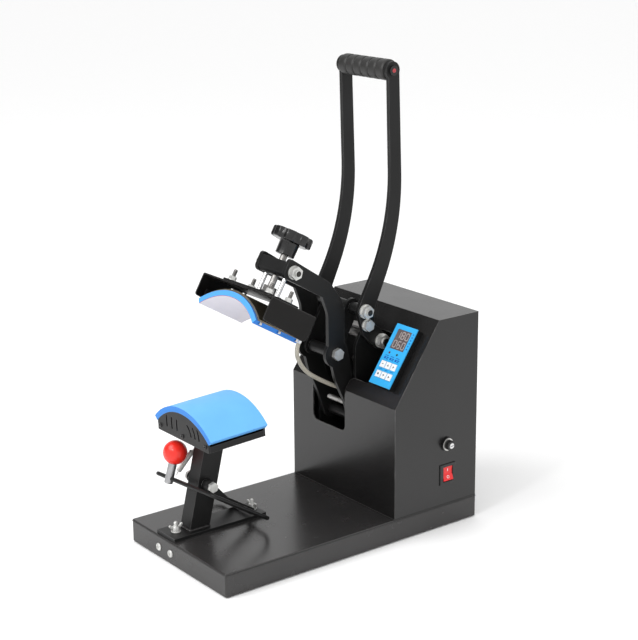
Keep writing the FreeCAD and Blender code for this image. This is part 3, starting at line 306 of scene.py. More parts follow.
def make_materials():
    """Every material by name. A name that is a slot of the record is that slot's look."""
    return {
        "base_top": painted("base_top", (0.024, 0.0228, 0.0226), 0.26, 0.5, 0.8, EDGE_SHINE,
                            bump=0.03, mottle=0.1),
        "housing": painted("housing", (0.009, 0.0086, 0.0086), 0.25, 0.5, 1.0, EDGE_SHINE,
                           bump=0.03, mottle=0.1),
        "black_paint": painted("black_paint", (0.006, 0.006, 0.006), 0.42, 0.28, 0.6),
        "cover_paint": painted("cover_paint", (0.0045, 0.0038, 0.0034), 0.4, 0.2, 0.6),
        "weld": painted("weld", (0.01, 0.009, 0.009), 0.4, 0.5, 0.2, grain=500.0, bump=0.5),
        "black_plastic": painted("black_plastic", (0.006, 0.006, 0.0062), 0.22, 0.5, 0.2, bump=0.05),
        "rubber": painted("rubber", (0.013, 0.0125, 0.012), 0.46, 0.45, grain=900.0, bump=0.25),
        "zinc": metal("zinc", (0.72, 0.72, 0.7), 0.46, share=0.82),
        "chrome": metal("chrome", (0.72, 0.72, 0.72), 0.24, None, 0.0),
        "steel": metal("steel", (0.33, 0.32, 0.31), 0.4, (1, 1, 0.1)),
        "dark_steel": metal("dark_steel", (0.06, 0.058, 0.055), 0.42),
        "aluminium": metal("aluminium", (0.62, 0.61, 0.59), 0.38, (1, 0.1, 1)),
        "heater_back": metal("heater_back", (0.3, 0.26, 0.19), 0.42),
        "lever_steel": metal("lever_steel", (0.42, 0.42, 0.43), 0.4, (1, 1, 0.1)),
        # the pad's darker blue side colour is painted shade on its front and rear edges
        "pad_blue": silicone("pad_blue", (0.14, 0.44, 0.9), (0.03, 0.2, 0.6), (0, 1, 0)),
        "mat_blue": silicone("mat_blue", (0.035, 0.2, 0.62), (0.07, 0.32, 0.74), HEAD_ALONG),
        "liner": silicone("liner", (0.72, 0.67, 0.69), (0.55, 0.09, 0.03), HEAD_ALONG),
        "ball_red": painted("ball_red", (0.86, 0.028, 0.018), 0.25, 0.45, bump=0.02, mottle=0.03),
        "rocker_red": painted("rocker_red", (0.72, 0.016, 0.018), 0.26, 0.5, bump=0.03, mottle=0.04),
        "blue_film": painted("blue_film", (0.03, 0.38, 0.76), 0.36, 0.45, bump=0.08, mottle=0.03),
        "blue_ink": painted("blue_ink", (0.008, 0.07, 0.36), 0.5, 0.3, mottle=0.05),
        "dark_ink": painted("dark_ink", (0.03, 0.035, 0.05), 0.5, 0.3, mottle=0.05),
        "white_plastic": painted("white_plastic", (0.78, 0.79, 0.8), 0.4, 0.45, bump=0.05, mottle=0.03),
        "display": painted("display", (0.11, 0.088, 0.088), 0.16, 0.5, bump=0.02, coat=0.5, mottle=0.05),
        "segment": painted("segment", (0.32, 0.285, 0.28), 0.3, 0.4, mottle=0.03),
        "board": painted("board", (0.015, 0.12, 0.04), 0.4, 0.5, mottle=0.2),
        "plug_red": painted("plug_red", (0.42, 0.05, 0.06), 0.4, 0.4, mottle=0.05),
        "led_red": painted("led_red", (0.1, 0.01, 0.02), 0.2, 0.5, mottle=0.05),
        "led_green": painted("led_green", (0.005, 0.06, 0.05), 0.2, 0.5, mottle=0.05),
        "iron": painted("iron", (0.05, 0.045, 0.04), 0.5, 0.4, 0.5),
        "sleeve": woven("sleeve", (0.64, 0.6, 0.52), (0.4, 0.37, 0.3)),
        "floor": painted("floor", (0.99, 0.99, 0.99), 0.9, 0.2, bump=0.0, mottle=0.002),
    }


# materials of the slots and nodes that don't take the material with their slot's name
SLOT_LOOK = {"blue_silicone": "pad_blue", "red_plastic": "rocker_red"}
NODE_LOOK = {
    "base_tray": "base_top", "housing_shell": "housing", "rear_cover": "housing",
    "head_cover": "cover_paint", "heater_plate": "heater_back", "heater_mat": "mat_blue",
    "arm_shaft": "black_paint", "frame_tubes": "steel", "grip_rod": "black_plastic",
    "clamp_lever": "lever_steel", "transformer": "iron",
}


def dress_nodes(look):
    for name, obj in NODES.items():
        slot = RECORD_SLOT[name]
        key = NODE_LOOK.get(name, SLOT_LOOK.get(slot, slot))
        obj.data.materials.clear()
        obj.data.materials.append(look[key])


# width of the rounded edges of the folded, cut and machined nodes, in mm
EDGE_WIDTH = {
    "housing_shell": 0.9, "rear_cover": 0.4, "head_cover": 0.5, "head_plate": 0.6, "head_bracket": 0.3,
    "arm_plate_left": 0.7, "arm_plate_right": 0.7, "cross_channel": 0.5, "toggle_link": 0.6,
    "handle_bar_left": 0.8, "handle_bar_right": 0.8, "frame_plate_left": 0.5, "frame_plate_right": 0.5,
    "post": 1.0, "foot_plate": 0.6, "platen_tray": 0.6, "platen_cap_front": 0.4, "platen_cap_rear": 0.4,
    "platen_pad": 0.5, "heater_mat": 0.4, "control_case": 0.5, "control_face": 0.2,
    "rocker_frame": 0.4, "power_rocker": 0.5, "fuse_holder": 0.5, "power_inlet": 0.4,
    "arm_bolts": 0.8, "handle_bolts": 0.8, "handle_pivot_bolts": 0.8, "clamp_bolt": 0.7,
    "wing_bolts": 0.7, "pressure_screw": 0.7, "guide_rods": 0.5, "grip_rod": 0.9, "transformer": 1.0,
}


def round_edges():
    """Small rounded edges; flat faces are cleared of their inner edges first."""
    for name, width in EDGE_WIDTH.items():
        flat = NODES[name].modifiers.new("flat", "DECIMATE")
        flat.decimate_type = "DISSOLVE"
        flat.angle_limit = math.radians(0.6)
        bevel = NODES[name].modifiers.new("edge", "BEVEL")
        bevel.width = width * MM
        bevel.segments = 2
        bevel.limit_method = "ANGLE"
        bevel.angle_limit = math.radians(38)
        bevel.harden_normals = True


# ---------------------------------------------------------------- mesh helpers

def ring_surface(rings, segments):
    """Skin over rings of points; a ring of one point is a pole."""
    bm = bmesh.new()
    made = [[bm.verts.new(p) for p in ring] for ring in rings]
    for a, b in zip(made, made[1:]):
        for i in range(segments):
            j = (i + 1) % segments
            if len(a) == 1:
                bm.faces.new((a[0], b[j], b[i]))
            elif len(b) == 1:
                bm.faces.new((a[i], a[j], b[0]))
            else:
                bm.faces.new((a[i], a[j], b[j], b[i]))
    return bm


def lathe(profile, segments=48, outline=None):
    """Turned body about Z from (radius, height) points in mm, bottom first.
    outline(angle, radius, height) can reshape a ring's radius."""
    rings = []
    for radius, height in profile:
        if radius == 0:
            rings.append([Vector((0, 0, height))])
            continue
        ring = []
        for i in range(segments):
            a = 2 * math.pi * i / segments
            r = outline(a, radius, height) if outline else radius
            ring.append(Vector((r * math.cos(a), r * math.sin(a), height)))
        rings.append(ring)
    return ring_surface(rings, segments)


def block(x0, x1, y0, y1, z0, z1, rounding):
    """Box with rounded edges."""
    bm = bmesh.new()
    bmesh.ops.create_cube(bm, size=1.0)
    size = Vector((x1 - x0, y1 - y0, z1 - z0))
    centre = Vector((x0 + x1, y0 + y1, z0 + z1)) / 2
    for v in bm.verts:
        v.co = Vector((v.co.x * size.x, v.co.y * size.y, v.co.z * size.z)) + centre
    bmesh.ops.bevel(bm, geom=bm.edges[:], offset=rounding, segments=3, profile=0.5, affect="EDGES")
    return bm


def slab(outline, low, high, rounding=0.0):
    """Flat piece from an (x, y) outline, low to high in z."""
    bm = bmesh.new()
    face = bm.faces.new([bm.verts.new((x, y, low)) for x, y in outline])
    moved = bmesh.ops.extrude_face_region(bm, geom=[face])["geom"]
    up = [v for v in moved if isinstance(v, bmesh.types.BMVert)]
    bmesh.ops.translate(bm, vec=(0, 0, high - low), verts=up)
    bmesh.ops.recalc_face_normals(bm, faces=bm.faces[:])
    if rounding:
        bmesh.ops.bevel(bm, geom=bm.edges[:], offset=rounding, segments=2, profile=0.5, affect="EDGES")
    return bm


def rectangle(x0, x1, y0, y1):
    """Outline of a rectangle along the axes."""
    return [(x0, y0), (x1, y0), (x1, y1), (x0, y1)]


def tube(points, radius, sides, closed=False, swell=None):
    """Round tube along points (mm); swell(distance) scales its radius."""
    count = len(points)
    rings = []
    travelled = 0.0
    side_way = None
    for i, p in enumerate(points):
        before = points[i - 1] if closed or i > 0 else p
        after = points[(i + 1) % count] if closed or i < count - 1 else p
        way = (after - before).normalized()
        if side_way is None:
            side_way = way.orthogonal()
        side_way = (side_way - way * side_way.dot(way)).normalized()
        other = way.cross(side_way)
        if i > 0:
            travelled += (p - points[i - 1]).length
        r = radius * (swell(travelled) if swell else 1.0)
        ring = []
        for k in range(sides):
            a = 2 * math.pi * k / sides
            ring.append(p + (side_way * math.cos(a) + other * math.sin(a)) * r)
        rings.append(ring)
    if closed:
        rings.append(rings[0])
    else:
        rings.insert(0, [points[0].copy()])
        rings.append([points[-1].copy()])
    bm = ring_surface(rings, sides)
    bmesh.ops.remove_doubles(bm, verts=bm.verts[:], dist=1e-5)
    return bm


def along(origin, axis):
    """Matrix that stands a Z-up body at origin (mm) with its axis along axis."""
    return Matrix.Translation(origin) @ Vector(axis).to_track_quat("Z", "Y").to_matrix().to_4x4()


def join(parts):
    """One mesh from several (bmesh, matrix) pairs."""
    whole = bmesh.new()
    for part, matrix in parts:
        part.transform(matrix)
        data = bpy.data.meshes.new("part")
        part.to_mesh(data)
        part.free()
        whole.from_mesh(data)
        bpy.data.meshes.remove(data)
    return whole


SMOOTH = 35                          # edges that turn by more degrees than this stay sharp
WELD_SMOOTH = 80


def piece(name, bm, matrix, material, body, replaces=(), angle=SMOOTH):
    bm.transform(matrix)
    bmesh.ops.remove_doubles(bm, verts=bm.verts[:], dist=1e-6)
    bmesh.ops.recalc_face_normals(bm, faces=bm.faces[:])
    data = bpy.data.meshes.new(name)
    bm.to_mesh(data)
    bm.free()
    data.shade_smooth()
    data.set_sharp_from_angle(angle=math.radians(angle))
    obj = bpy.data.objects.new(name, data)
    bpy.context.scene.collection.objects.link(obj)
    data.materials.append(material)
    if body:
        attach(obj, body)
    if replaces:
        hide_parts(*replaces)
    return obj


# ---------------------------------------------------------------- fasteners

def cross_radius(angle, arm, half):
    """Radius at an angle of a plus sign with arms of that length and half width."""
    c, s = abs(math.cos(angle)), abs(math.sin(angle))
    return min(arm / max(c, s), half / max(min(c, s), 1e-6))


def pan_head(radius, height):
    """Pan head with a cross recess, standing on Z = 0. Its last rings are shares of the cross."""
    recess_below = 1.5

    def outline(angle, r, h):
        return cross_radius(angle, radius * 0.58, radius * 0.17) * r if r < recess_below else r
    profile = [(0.0, -0.3), (radius * 0.9, -0.3), (radius, 0), (radius, height * 0.35),
               (radius * 0.95, height * 0.62), (radius * 0.82, height * 0.86), (radius * 0.66, height),
               (1.0, height), (0.85, height * 0.35), (0.0, height * 0.25)]
    return lathe(profile, 48, outline)


def threads(radius, length, pitch):
    """Threaded end: ridges between 0 and length, chamfered tip."""
    root = radius - 0.45
    profile = [(0.0, 0.0), (root, 0.0)]
    h = 0.2
    while h + pitch < length - 0.4:
        profile += [(root, h), (radius, h + pitch * 0.4), (radius, h + pitch * 0.6), (root, h + pitch)]
        h += pitch
    profile += [(root, length - 0.6), (root - 0.6, length), (0.0, length)]
    return lathe(profile, 28)


def hexagon(across, height):
    """Hexagonal nut with its corners turned down at the top."""
    half = across / 2
    chamfer = 0.6

    def outline(angle, r, h):
        flat = half / math.cos((angle % (math.pi / 3)) - math.pi / 6)
        return min(flat, r)
    corner = half / math.cos(math.pi / 6)
    profile = [(0.0, 0.0), (corner, 0.0), (corner, height - chamfer), (half * 0.97, height),
               (0.0, height)]
    return lathe(profile, 72, outline)


def washer(radius, bore, height):
    """Flat ring standing on Z = 0; bore is the hole's radius."""
    profile = [(bore, 0.0), (radius - 0.2, 0.0), (radius, 0.2), (radius, height - 0.3),
               (radius - 0.3, height), (bore, height), (bore, 0.0)]
    return lathe(profile, 48)


def make_housing_screws(look):
    """Two screws in the front of the base and two rows in the rear cover."""
    front_spread, front_z = 15.0, 17.0
    base_front = BASE_LOW.y / MM
    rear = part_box("rear_cover")[1].y / MM
    rear_x, rear_rows = BASE_HIGH.x / MM - 9.0, (45.0, 175.0, 306.0)
    heads = []
    for side in SIDES:
        at = (PRESS_X_MM + side * front_spread, base_front, front_z)
        heads.append((pan_head(5.5, 2.4), along(at, (0, -1, 0))))
    for side in SIDES:
        for z in rear_rows:
            heads.append((pan_head(3.4, 1.8), along((side * rear_x, rear, z), (0, 1, 0))))
    piece("housing_screws_detail", join(heads), TO_ROW, look["zinc"], "root", ["housing_screws"])


def make_platen_screws(look):
    """Three screws in each end cap of the platen."""
    front_cap, rear_cap = 0.2, 94.8
    spots = ((-57.0, -40.0), (57.0, -40.0), (0.0, -41.0))
    heads = []
    for u, way in ((front_cap, -1), (rear_cap, 1)):
        for x, w in spots:
            heads.append((pan_head(3.2, 1.8), along((x, u, w), (0, way, 0))))
    piece("platen_screws_detail", join(heads), TO_PLATEN, look["black_plastic"], "root",
          ["platen_screws"])


def make_head_studs(look):
    """Washers, nuts and the threaded studs that hang the heater from the cover."""
    top, washer_h = 48.0, 1.2
    stud_x, stud_rows = 45.0, (22.0, 59.0)
    nuts, studs = [], []
    for side in SIDES:
        for u in stud_rows:
            x = side * stud_x
            nuts.append((washer(6.6, 3.0, washer_h), Matrix.Translation((x, u, top))))
            nuts.append((hexagon(10.0, 5.2), Matrix.Translation((x, u, top + washer_h))))
            studs.append((threads(3.0, 16.5, 1.0), Matrix.Translation((x, u, top + 0.2))))
    piece("head_nuts_detail", join(nuts), TO_HEAD, look["zinc"], "head", ["head_nuts"])
    piece("head_studs", join(studs), TO_HEAD, look["steel"], "head")


def make_bolt_ends(look):
    """Threaded ends that stand out of the nuts on the linkage."""
    bolt_w, pitch = 90.0, 1.2
    channel_bolt = TO_HEAD @ Vector((0, SCREW_U, bolt_w)) / MM
    # body, place, distances from the middle plane where the end starts and stops, radius
    ends = (("arm", (channel_bolt.y, channel_bolt.z), 43.8, 47.2, 4.95),
            ("handle", CRANK_PIN, 65.4, 69.0, 5.05),
            ("root", HANDLE_PIVOT, 66.0, 68.6, 6.0))
    for body, place, start, stop, radius in ends:
        parts = []
        for side in SIDES:
            at = (PRESS_X_MM + side * start, *place)
            parts.append((threads(radius, stop - start, pitch), along(at, (side, 0, 0))))
        piece(body + "_bolt_ends", join(parts), TO_ROW, look["dark_steel"], body)


def make_sleeves(look):
    """Black sleeves over the spacer tubes at both ends of the link."""
    bore, radius, edge = 7.9, 8.3, 0.25
    covers = (("arm", LINK_PIN, ((-21.7, 21.7), (-28.8, -27.3), (27.3, 28.8))),
              ("handle", CRANK_PIN, ((-49.8, -27.9), (27.9, 49.8))))
    for body, place, spans in covers:
        parts = []
        for start, stop in spans:
            run = stop - start
            profile = [(bore, 0.0), (radius - 0.2, 0.0), (radius, edge), (radius, run - edge),
                       (radius - 0.2, run), (bore, run), (bore, 0.0)]
            parts.append((lathe(profile, 40), along((PRESS_X_MM + start, *place), (1, 0, 0))))
        piece(body + "_sleeves", join(parts), TO_ROW, look["black_paint"], body)


POST_HALF = 12.7                     # half width of the post


def make_clamp_collars(look):
    """Collars on the clamp's bolt, one on each side of the post."""
    collar_end = 21.5
    run = collar_end - POST_HALF
    profile = [(7.9, 0.0), (8.2, 0.3), (8.2, run - 0.3), (7.9, run), (5.2, run), (5.2, 0.0), (7.9, 0.0)]
    parts = []
    for side in SIDES:
        at = (PRESS_X_MM + side * POST_HALF, CLAMP_AT.y / MM, CLAMP_AT.z / MM)
        parts.append((lathe(profile, 40), along(at, (side, 0, 0))))
    piece("clamp_collars", join(parts), TO_ROW, look["black_paint"], "root")


def make_stop_stud(look):
    """Thread over the stop stud between the arm plates."""
    radius, length, pitch = 3.8, 41.5, 1.25
    start = (PRESS_X_MM - 13.2, 78.0, 176.5)
    piece("stop_stud_thread", threads(radius, length, pitch), TO_ROW @ along(start, (1, 0, 0)),
          look["steel"], "arm")


def make_wing_nuts(look):
    """Wing nuts on the foot plate and the studs that they are on."""
    foot_top, base_top, stud_top, stud_r = 40.0, 27.0, 40.2, 3.0
    front, rear = -205.0, -75.0
    hub = [(0, 1.2), (6.0, 1.2), (6.1, 2.0), (4.8, 8.0), (4.0, 8.6), (0, 8.6)]
    wing = [(3.4, 2.6), (6.4, 3.2), (9.2, 6.4), (11.0, 8.6), (11.2, 10.8), (9.8, 11.6), (7.6, 10.9),
            (5.2, 8.4), (3.4, 7.0)]
    upright = Matrix.Rotation(math.radians(90), 4, "X")
    nuts, studs = [], []
    for y, turn in ((front, 90.0), (rear, 0.0)):
        seat = Matrix.Translation((PRESS_X_MM, y, foot_top))
        spin = seat @ Matrix.Rotation(math.radians(turn), 4, "Z")
        nuts.append((washer(7.0, stud_r, 1.2), seat))
        nuts.append((lathe(hub, 40), spin))
        for side in SIDES:
            outline = [(side * a, b) for a, b in wing]
            nuts.append((slab(outline, -1.2, 1.2, 0.5), spin @ upright))
        studs.append((threads(stud_r, 15.0, 1.0), seat))
        shank = [(0, base_top), (stud_r, base_top), (stud_r, stud_top), (0, stud_top)]
        studs.append((lathe(shank, 24), Matrix.Translation((PRESS_X_MM, y, 0))))
    piece("wing_nuts_detail", join(nuts), TO_ROW, look["zinc"], "root", ["wing_bolts"])
    piece("wing_studs", join(studs), TO_ROW, look["zinc"], "root")


# ---------------------------------------------------------------- knobs and grip

def make_ball(look):
    """Ball knob with a flat foot and a faint mould line round its middle."""
    ball_r, steps, mould_line = 17.5, 30, 0.12
    lever_way = (0.0, 0.292, 0.956)
    foot = -ball_r * 0.985
    start, sweep = -78, 168
    profile = [(0.0, foot), (3.0, foot)]
    for i in range(steps):
        a = math.radians(start + sweep * i / steps)
        r = ball_r - mould_line if abs(math.degrees(a)) < 1.0 else ball_r
        profile.append((r * math.cos(a), r * math.sin(a)))
    profile.append((0.0, ball_r))
    piece("ball_knob_detail", lathe(profile, 64), TO_ROW @ along(middle("ball_knob") / MM, lever_way),
          look["ball_red"], "clamp", ["ball_knob"])


def make_star_knob(look):
    """Hub and scalloped disc. Rings given by rim follow the scallops."""
    knob_r, lobes, cut_r, cut_at, blend = 30.0, 8, 8.5, 35.5, 1.2
    hub, bore, rim = 14.5, 5.2, 100.0
    low, high, top = 109.2, 128.7, 144.3

    def lobe(angle):
        """Radius of the scalloped rim."""
        step = 2 * math.pi / lobes
        off = (angle % step) - step / 2
        sink = cut_r ** 2 - (cut_at * math.sin(off)) ** 2
        if sink <= 0:
            return knob_r
        scallop = cut_at * math.cos(off) - math.sqrt(sink)
        gap = max(0.0, min(1.0, 0.5 + 0.5 * (knob_r - scallop) / blend))
        return knob_r * (1 - gap) + scallop * gap - blend * gap * (1 - gap)

    def outline(angle, r, h):
        return lobe(angle) - (rim - r) if r > rim / 2 else r
    profile = [(0.0, low + 4), (bore, low + 4), (bore, low), (hub - 1.3, low), (hub - 0.4, low + 0.9),
               (hub, high - 1.2), (hub + 0.8, high), (rim - 4.0, high), (rim - 1.0, high + 0.7),
               (rim, high + 2.2), (rim, top - 2.4), (rim - 0.5, top - 1.0), (rim - 1.8, top - 0.1),
               (rim - 3.4, top), (20.0, top - 0.4), (15.5, top - 1.3), (12.5, top - 1.4),
               (11.8, top - 0.6), (6.0, top - 0.2), (0.0, top - 0.1)]
    piece("star_knob_detail", lathe(profile, lobes * 32, outline),
          TO_HEAD @ Matrix.Translation((0, SCREW_U, 0)), look["black_plastic"], "knob",
          ["star_knob"])


def make_grip(look):
    """Rubber grip with rounded finger ridges."""
    half, grip_r, waist, bore = 49.8, 15.0, 13.3, 5.1
    ridges, steps = 6, 14
    pitch = 2 * half / ridges
    profile = [(bore, -half), (waist - 1.0, -half)]
    for i in range(ridges):
        for k in range(steps):
            t = k / steps
            swell = 1 - abs(2 * t - 1) ** 7
            profile.append((waist + (grip_r - waist) * swell, -half + pitch * (i + t)))
    profile += [(waist, half), (bore, half), (bore, -half)]
    piece("hand_grip_detail", lathe(profile, 56), TO_ROW @ along(GRIP_AT / MM, (1, 0, 0)), look["rubber"],
          "handle", ["hand_grip"])


def make_grip_plugs(look):
    """Moulded plug in each end of the grip's tie rod."""
    rod_end = 58.6
    profile = [(0, -0.4), (3.0, -0.4), (3.0, 0.6), (2.4, 1.1), (1.2, 1.2), (0.9, 0.8), (0, 0.8)]
    plugs = []
    for side in SIDES:
        at = GRIP_AT / MM + Vector((side * rod_end, 0, 0))
        plugs.append((lathe(profile, 32), along(at, (side, 0, 0))))
    piece("grip_plugs", join(plugs), TO_ROW, look["plug_red"], "handle")


# ---------------------------------------------------------------- lead and spring

LEAD_R = 3.1
# from the head to the terminal block; X is measured from the press's middle plane
LEAD_ROUTE = ((66.0, -33.5, 304.3), (61.0, -37.3, 288.8), (50.0, -24.6, 266.1),
              (38.0, -2.0, 242.3), (27.0, 31.3, 221.4), (20.0, 65.0, 202.4),
              (13.0, 96.0, 190.0), (5.0, 122.0, 170.0), (1.0, 130.0, 140.0),
              (-2.0, 127.0, 100.0), (-1.0, 128.5, 59.2))


def spline_points(route, resolution):
    """Points of the smooth line that has the route's points as its control points."""
    curve = bpy.data.curves.new("lead_line", "CURVE")
    curve.dimensions = "3D"
    curve.resolution_u = resolution
    spline = curve.splines.new("NURBS")
    spline.points.add(len(route) - 1)
    for point, at in zip(spline.points, route):
        point.co = (*at, 1)
    spline.order_u = 3
    spline.use_endpoint_u = True
    holder = bpy.data.objects.new("lead_line", curve)
    data = bpy.data.meshes.new_from_object(holder)
    found = [v.co.copy() for v in data.vertices]
    bpy.data.meshes.remove(data)
    bpy.data.objects.remove(holder)
    bpy.data.curves.remove(curve)
    return found


def add_tube_uv(data, sides, length, around):
    """Along and round coordinates in mm for a tube made ring by ring."""
    layer = data.uv_layers.new(name="UVMap")
    for face in data.polygons:
        rings = [(data.loops[i].vertex_index - 1) for i in face.loop_indices]
        columns = [r % sides for r in rings]
        wrap = max(columns) - min(columns) > 1
        for i, r, column in zip(face.loop_indices, rings, columns):
            turn = column + sides if wrap and column == 0 else column
            layer.data[i].uv = (max(r, 0) // sides * length, turn * around)


def path_length(points):
    return sum((b - a).length for a, b in zip(points, points[1:]))


def make_lead(look):
    """Sleeved heater lead between the arm and the root, with a collar on the arm at its upper end."""
    sides = 16
    route = [Vector((PRESS_X_MM + x, y, z)) for x, y, z in LEAD_ROUTE]
    points = spline_points(route, 12)
    obj = piece("heater_lead_detail", tube(points, LEAD_R, sides), TO_ROW, look["sleeve"], None,
                ["heater_lead"])
    step = path_length(points) / (len(points) - 1)
    add_tube_uv(obj.data, sides, step, 2 * math.pi * LEAD_R / sides)
    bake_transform(obj)
    inner, outer = LEAD_R - 0.1, LEAD_R + 0.35
    collar = lathe([(inner, 0.4), (outer, 0.6), (outer, 5.0), (inner, 5.4), (inner, 0.4)], 36)
    piece("lead_collar", collar, TO_ROW @ along(points[0], points[1] - points[0]), look["white_plastic"],
          "arm")


SPRING_FOOT = Vector((-102.5, -158.0, 92.0))
SPRING_TOP = Vector((-60.0, -151.7, 145.2))


def make_spring(look):
    """Clamp spring: close coils between two straight hooked ends."""
    wire, coil_r, turns, steps = 0.62, 3.2, 30, 12
    straight, narrowest = 9.0, 0.2
    length = (SPRING_TOP - SPRING_FOOT).length
    way = (SPRING_TOP - SPRING_FOOT).normalized()
    side = way.orthogonal().normalized()
    other = way.cross(side)
    last = turns * steps
    points = [SPRING_FOOT + side * 1.0, SPRING_FOOT + way * 4.0, SPRING_FOOT + way * 7.5]
    for i in range(last + 1):
        a = 2 * math.pi * i / steps
        h = straight + (length - 2 * straight) * i / last
        # the first and last turns draw in to the hooks
        r = coil_r * max(narrowest, min(1.0, i / steps, (last - i) / steps + 0.02))
        points.append(SPRING_FOOT + way * h + (side * math.cos(a) + other * math.sin(a)) * r)
    points += [SPRING_TOP - way * 7.5, SPRING_TOP - way * 4.0, SPRING_TOP + side * 1.0]
    obj = piece("clamp_spring_detail", tube(points, wire, 7), TO_ROW, look["zinc"], None,
                ["clamp_spring"])
    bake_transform(obj)


# ---------------------------------------------------------------- welds, seams and clips

def closed_path(corners, step, radius):
    """Points round a closed polygon with rounded corners, about step apart."""
    path = []
    parts_of_bend = 4
    for i, here in enumerate(corners):
        before, after = corners[i - 1], corners[(i + 1) % len(corners)]
        start = here + (before - here).normalized() * radius
        end = here + (after - here).normalized() * radius
        for k in range(parts_of_bend + 1):
            t = k / parts_of_bend
            path.append(start * (1 - t) ** 2 + here * 2 * t * (1 - t) + end * t ** 2)
        stop = after + (here - after).normalized() * radius
        spaces = int((stop - end).length / step)
        for k in range(1, spaces):
            path.append(end.lerp(stop, k / spaces))
    return path


def corners_of(x0, x1, y0, y1, z):
    """Corners of a level rectangle."""
    return [Vector((x, y, z)) for x, y in rectangle(x0, x1, y0, y1)]


def bead(distance):
    """Ripples of a hand-laid weld: its radius swells and shrinks along it."""
    return 1.0 + 0.16 * math.sin(distance * 2.3) + 0.1 * math.sin(distance * 0.71 + 1.0)


def make_post_weld(look):
    """Weld round the post's foot."""
    post_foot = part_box("post")[0] / MM
    depth, bend, rise = 33.0, 2.0, 0.5
    corners = corners_of(PRESS_X_MM - POST_HALF, PRESS_X_MM + POST_HALF, post_foot.y, post_foot.y + depth,
                         post_foot.z + rise)
    weld = tube(closed_path(corners, 0.7, bend), 2.1, 10, True, bead)
    piece("post_weld", weld, TO_ROW, look["weld"], "root", angle=WELD_SMOOTH)


def make_link_welds(look):
    """Beads where the link's plates meet its cross tube."""
    plate_x, ring_r, steps = 22.0, 8.6, 60
    y, z = CRANK_PIN
    parts = []
    for side in SIDES:
        ring = []
        for i in range(steps):
            a = 2 * math.pi * i / steps
            ring.append(Vector((PRESS_X_MM + side * plate_x,
                                y + ring_r * math.cos(a), z + ring_r * math.sin(a))))
        parts.append((tube(ring, 1.3, 8, True, bead), UNMOVED))
    piece("link_welds", join(parts), TO_ROW, look["weld"], "link", angle=WELD_SMOOTH)


SEAM_STEP = 60.0                     # mm between points on a seam's straight runs


def make_seams(look):
    """Folded seam round the base under its top face, and the line where the housing stands on it."""
    proud, drop = 0.25, 2.2
    x, y = BASE_HIGH.x / MM + proud, BASE_HIGH.y / MM + proud
    corners = corners_of(-x, x, -y, y, BASE_HIGH.z / MM - drop)
    piece("base_seam", tube(closed_path(corners, SEAM_STEP, 3.2), 0.4, 6, True), TO_ROW, look["rubber"],
          "root", angle=WELD_SMOOTH)
    low, high = (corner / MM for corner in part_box("housing_shell"))
    rise = 0.5
    corners = corners_of(-high.x, high.x, low.y, high.y, low.z + rise)
    piece("housing_seam", tube(closed_path(corners, SEAM_STEP, 0.8), 0.6, 6, True), TO_ROW, look["rubber"],
          "root", angle=WELD_SMOOTH)


def make_mat_clips(look):
    """Small clips that hold the lower edges of the heater mat."""
    profile = [(67.5, 2.2), (71.1, 2.2), (71.1, 7.4), (70.6, 7.4), (70.6, 2.7), (67.5, 2.7)]
    half_width, rows = 2.0, (10.0, 46.0, 80.0)
    clips = []
    for side in SIDES:
        for u in rows:
            outline = [(side * x, w) for x, w in profile]
            stand = Matrix.Translation((0, u, 0)) @ Matrix.Rotation(math.radians(90), 4, "X")
            clips.append((slab(outline, -half_width, half_width, 0.1), stand))
    piece("mat_clips", join(clips), TO_HEAD, look["aluminium"], "head")


def make_heater_screws(look):
    """Terminal screws on the curved back of the heater, seen through the cover's open front."""
    back_r, back_centre, screw_x = 112.5, -77.57, 14.0
    parts = []
    for u in (7.0, 78.0):
        for side in SIDES:
            w = back_centre + math.sqrt(back_r ** 2 - screw_x ** 2)
            parts.append((pan_head(2.6, 1.8), Matrix.Translation((side * screw_x, u, w))))
    piece("heater_screws", join(parts), TO_HEAD, look["zinc"], "head")


# ---------------------------------------------------------------- control panel

# heights above the slope, and places along it, in mm
PANE_TOP, FILM_TOP, KEY_TOP = 11.7, 12.0, 13.0
COLUMNS = (68.2, 79.75, 91.3)
KEY_ROWS = (54.4, 39.0)
WINDOW_X, WINDOW_S = 79.75, 94.75
DIGIT_SEGMENTS = {"0": "abcdef", "1": "bc", "6": "acdefg", "8": "abcdefg"}


def print_on(outline, surface, proud):
    """Flat print or segment lying on a surface, as a (bmesh, matrix) pair."""
    sunk = 0.05
    return slab(outline, surface - sunk, surface + proud), UNMOVED


def segment_bar(x0, y0, x1, y1, half):
    """Outline of one display segment with pointed ends."""
    a, b = Vector((x0, y0)), Vector((x1, y1))
    way = (b - a).normalized()
    side = Vector((-way.y, way.x)) * half
    inner_a, inner_b = a + way * half, b - way * half
    return [tuple(a), tuple(inner_a - side), tuple(inner_b - side), tuple(b), tuple(inner_b + side),
            tuple(inner_a + side)]


def digit(character, x, y, width, height):
    """Outlines of the segments that are lit in a seven-segment digit centred on (x, y)."""
    x0, x1 = x - width / 2, x + width / 2
    y0, y1 = y - height / 2, y + height / 2
    bars = {"a": (x0, y1, x1, y1), "b": (x1, y, x1, y1), "c": (x1, y0, x1, y), "d": (x0, y0, x1, y0),
            "e": (x0, y0, x0, y), "f": (x0, y, x0, y1), "g": (x0, y, x1, y)}
    return [segment_bar(*bars[key], 0.8) for key in DIGIT_SEGMENTS[character]]


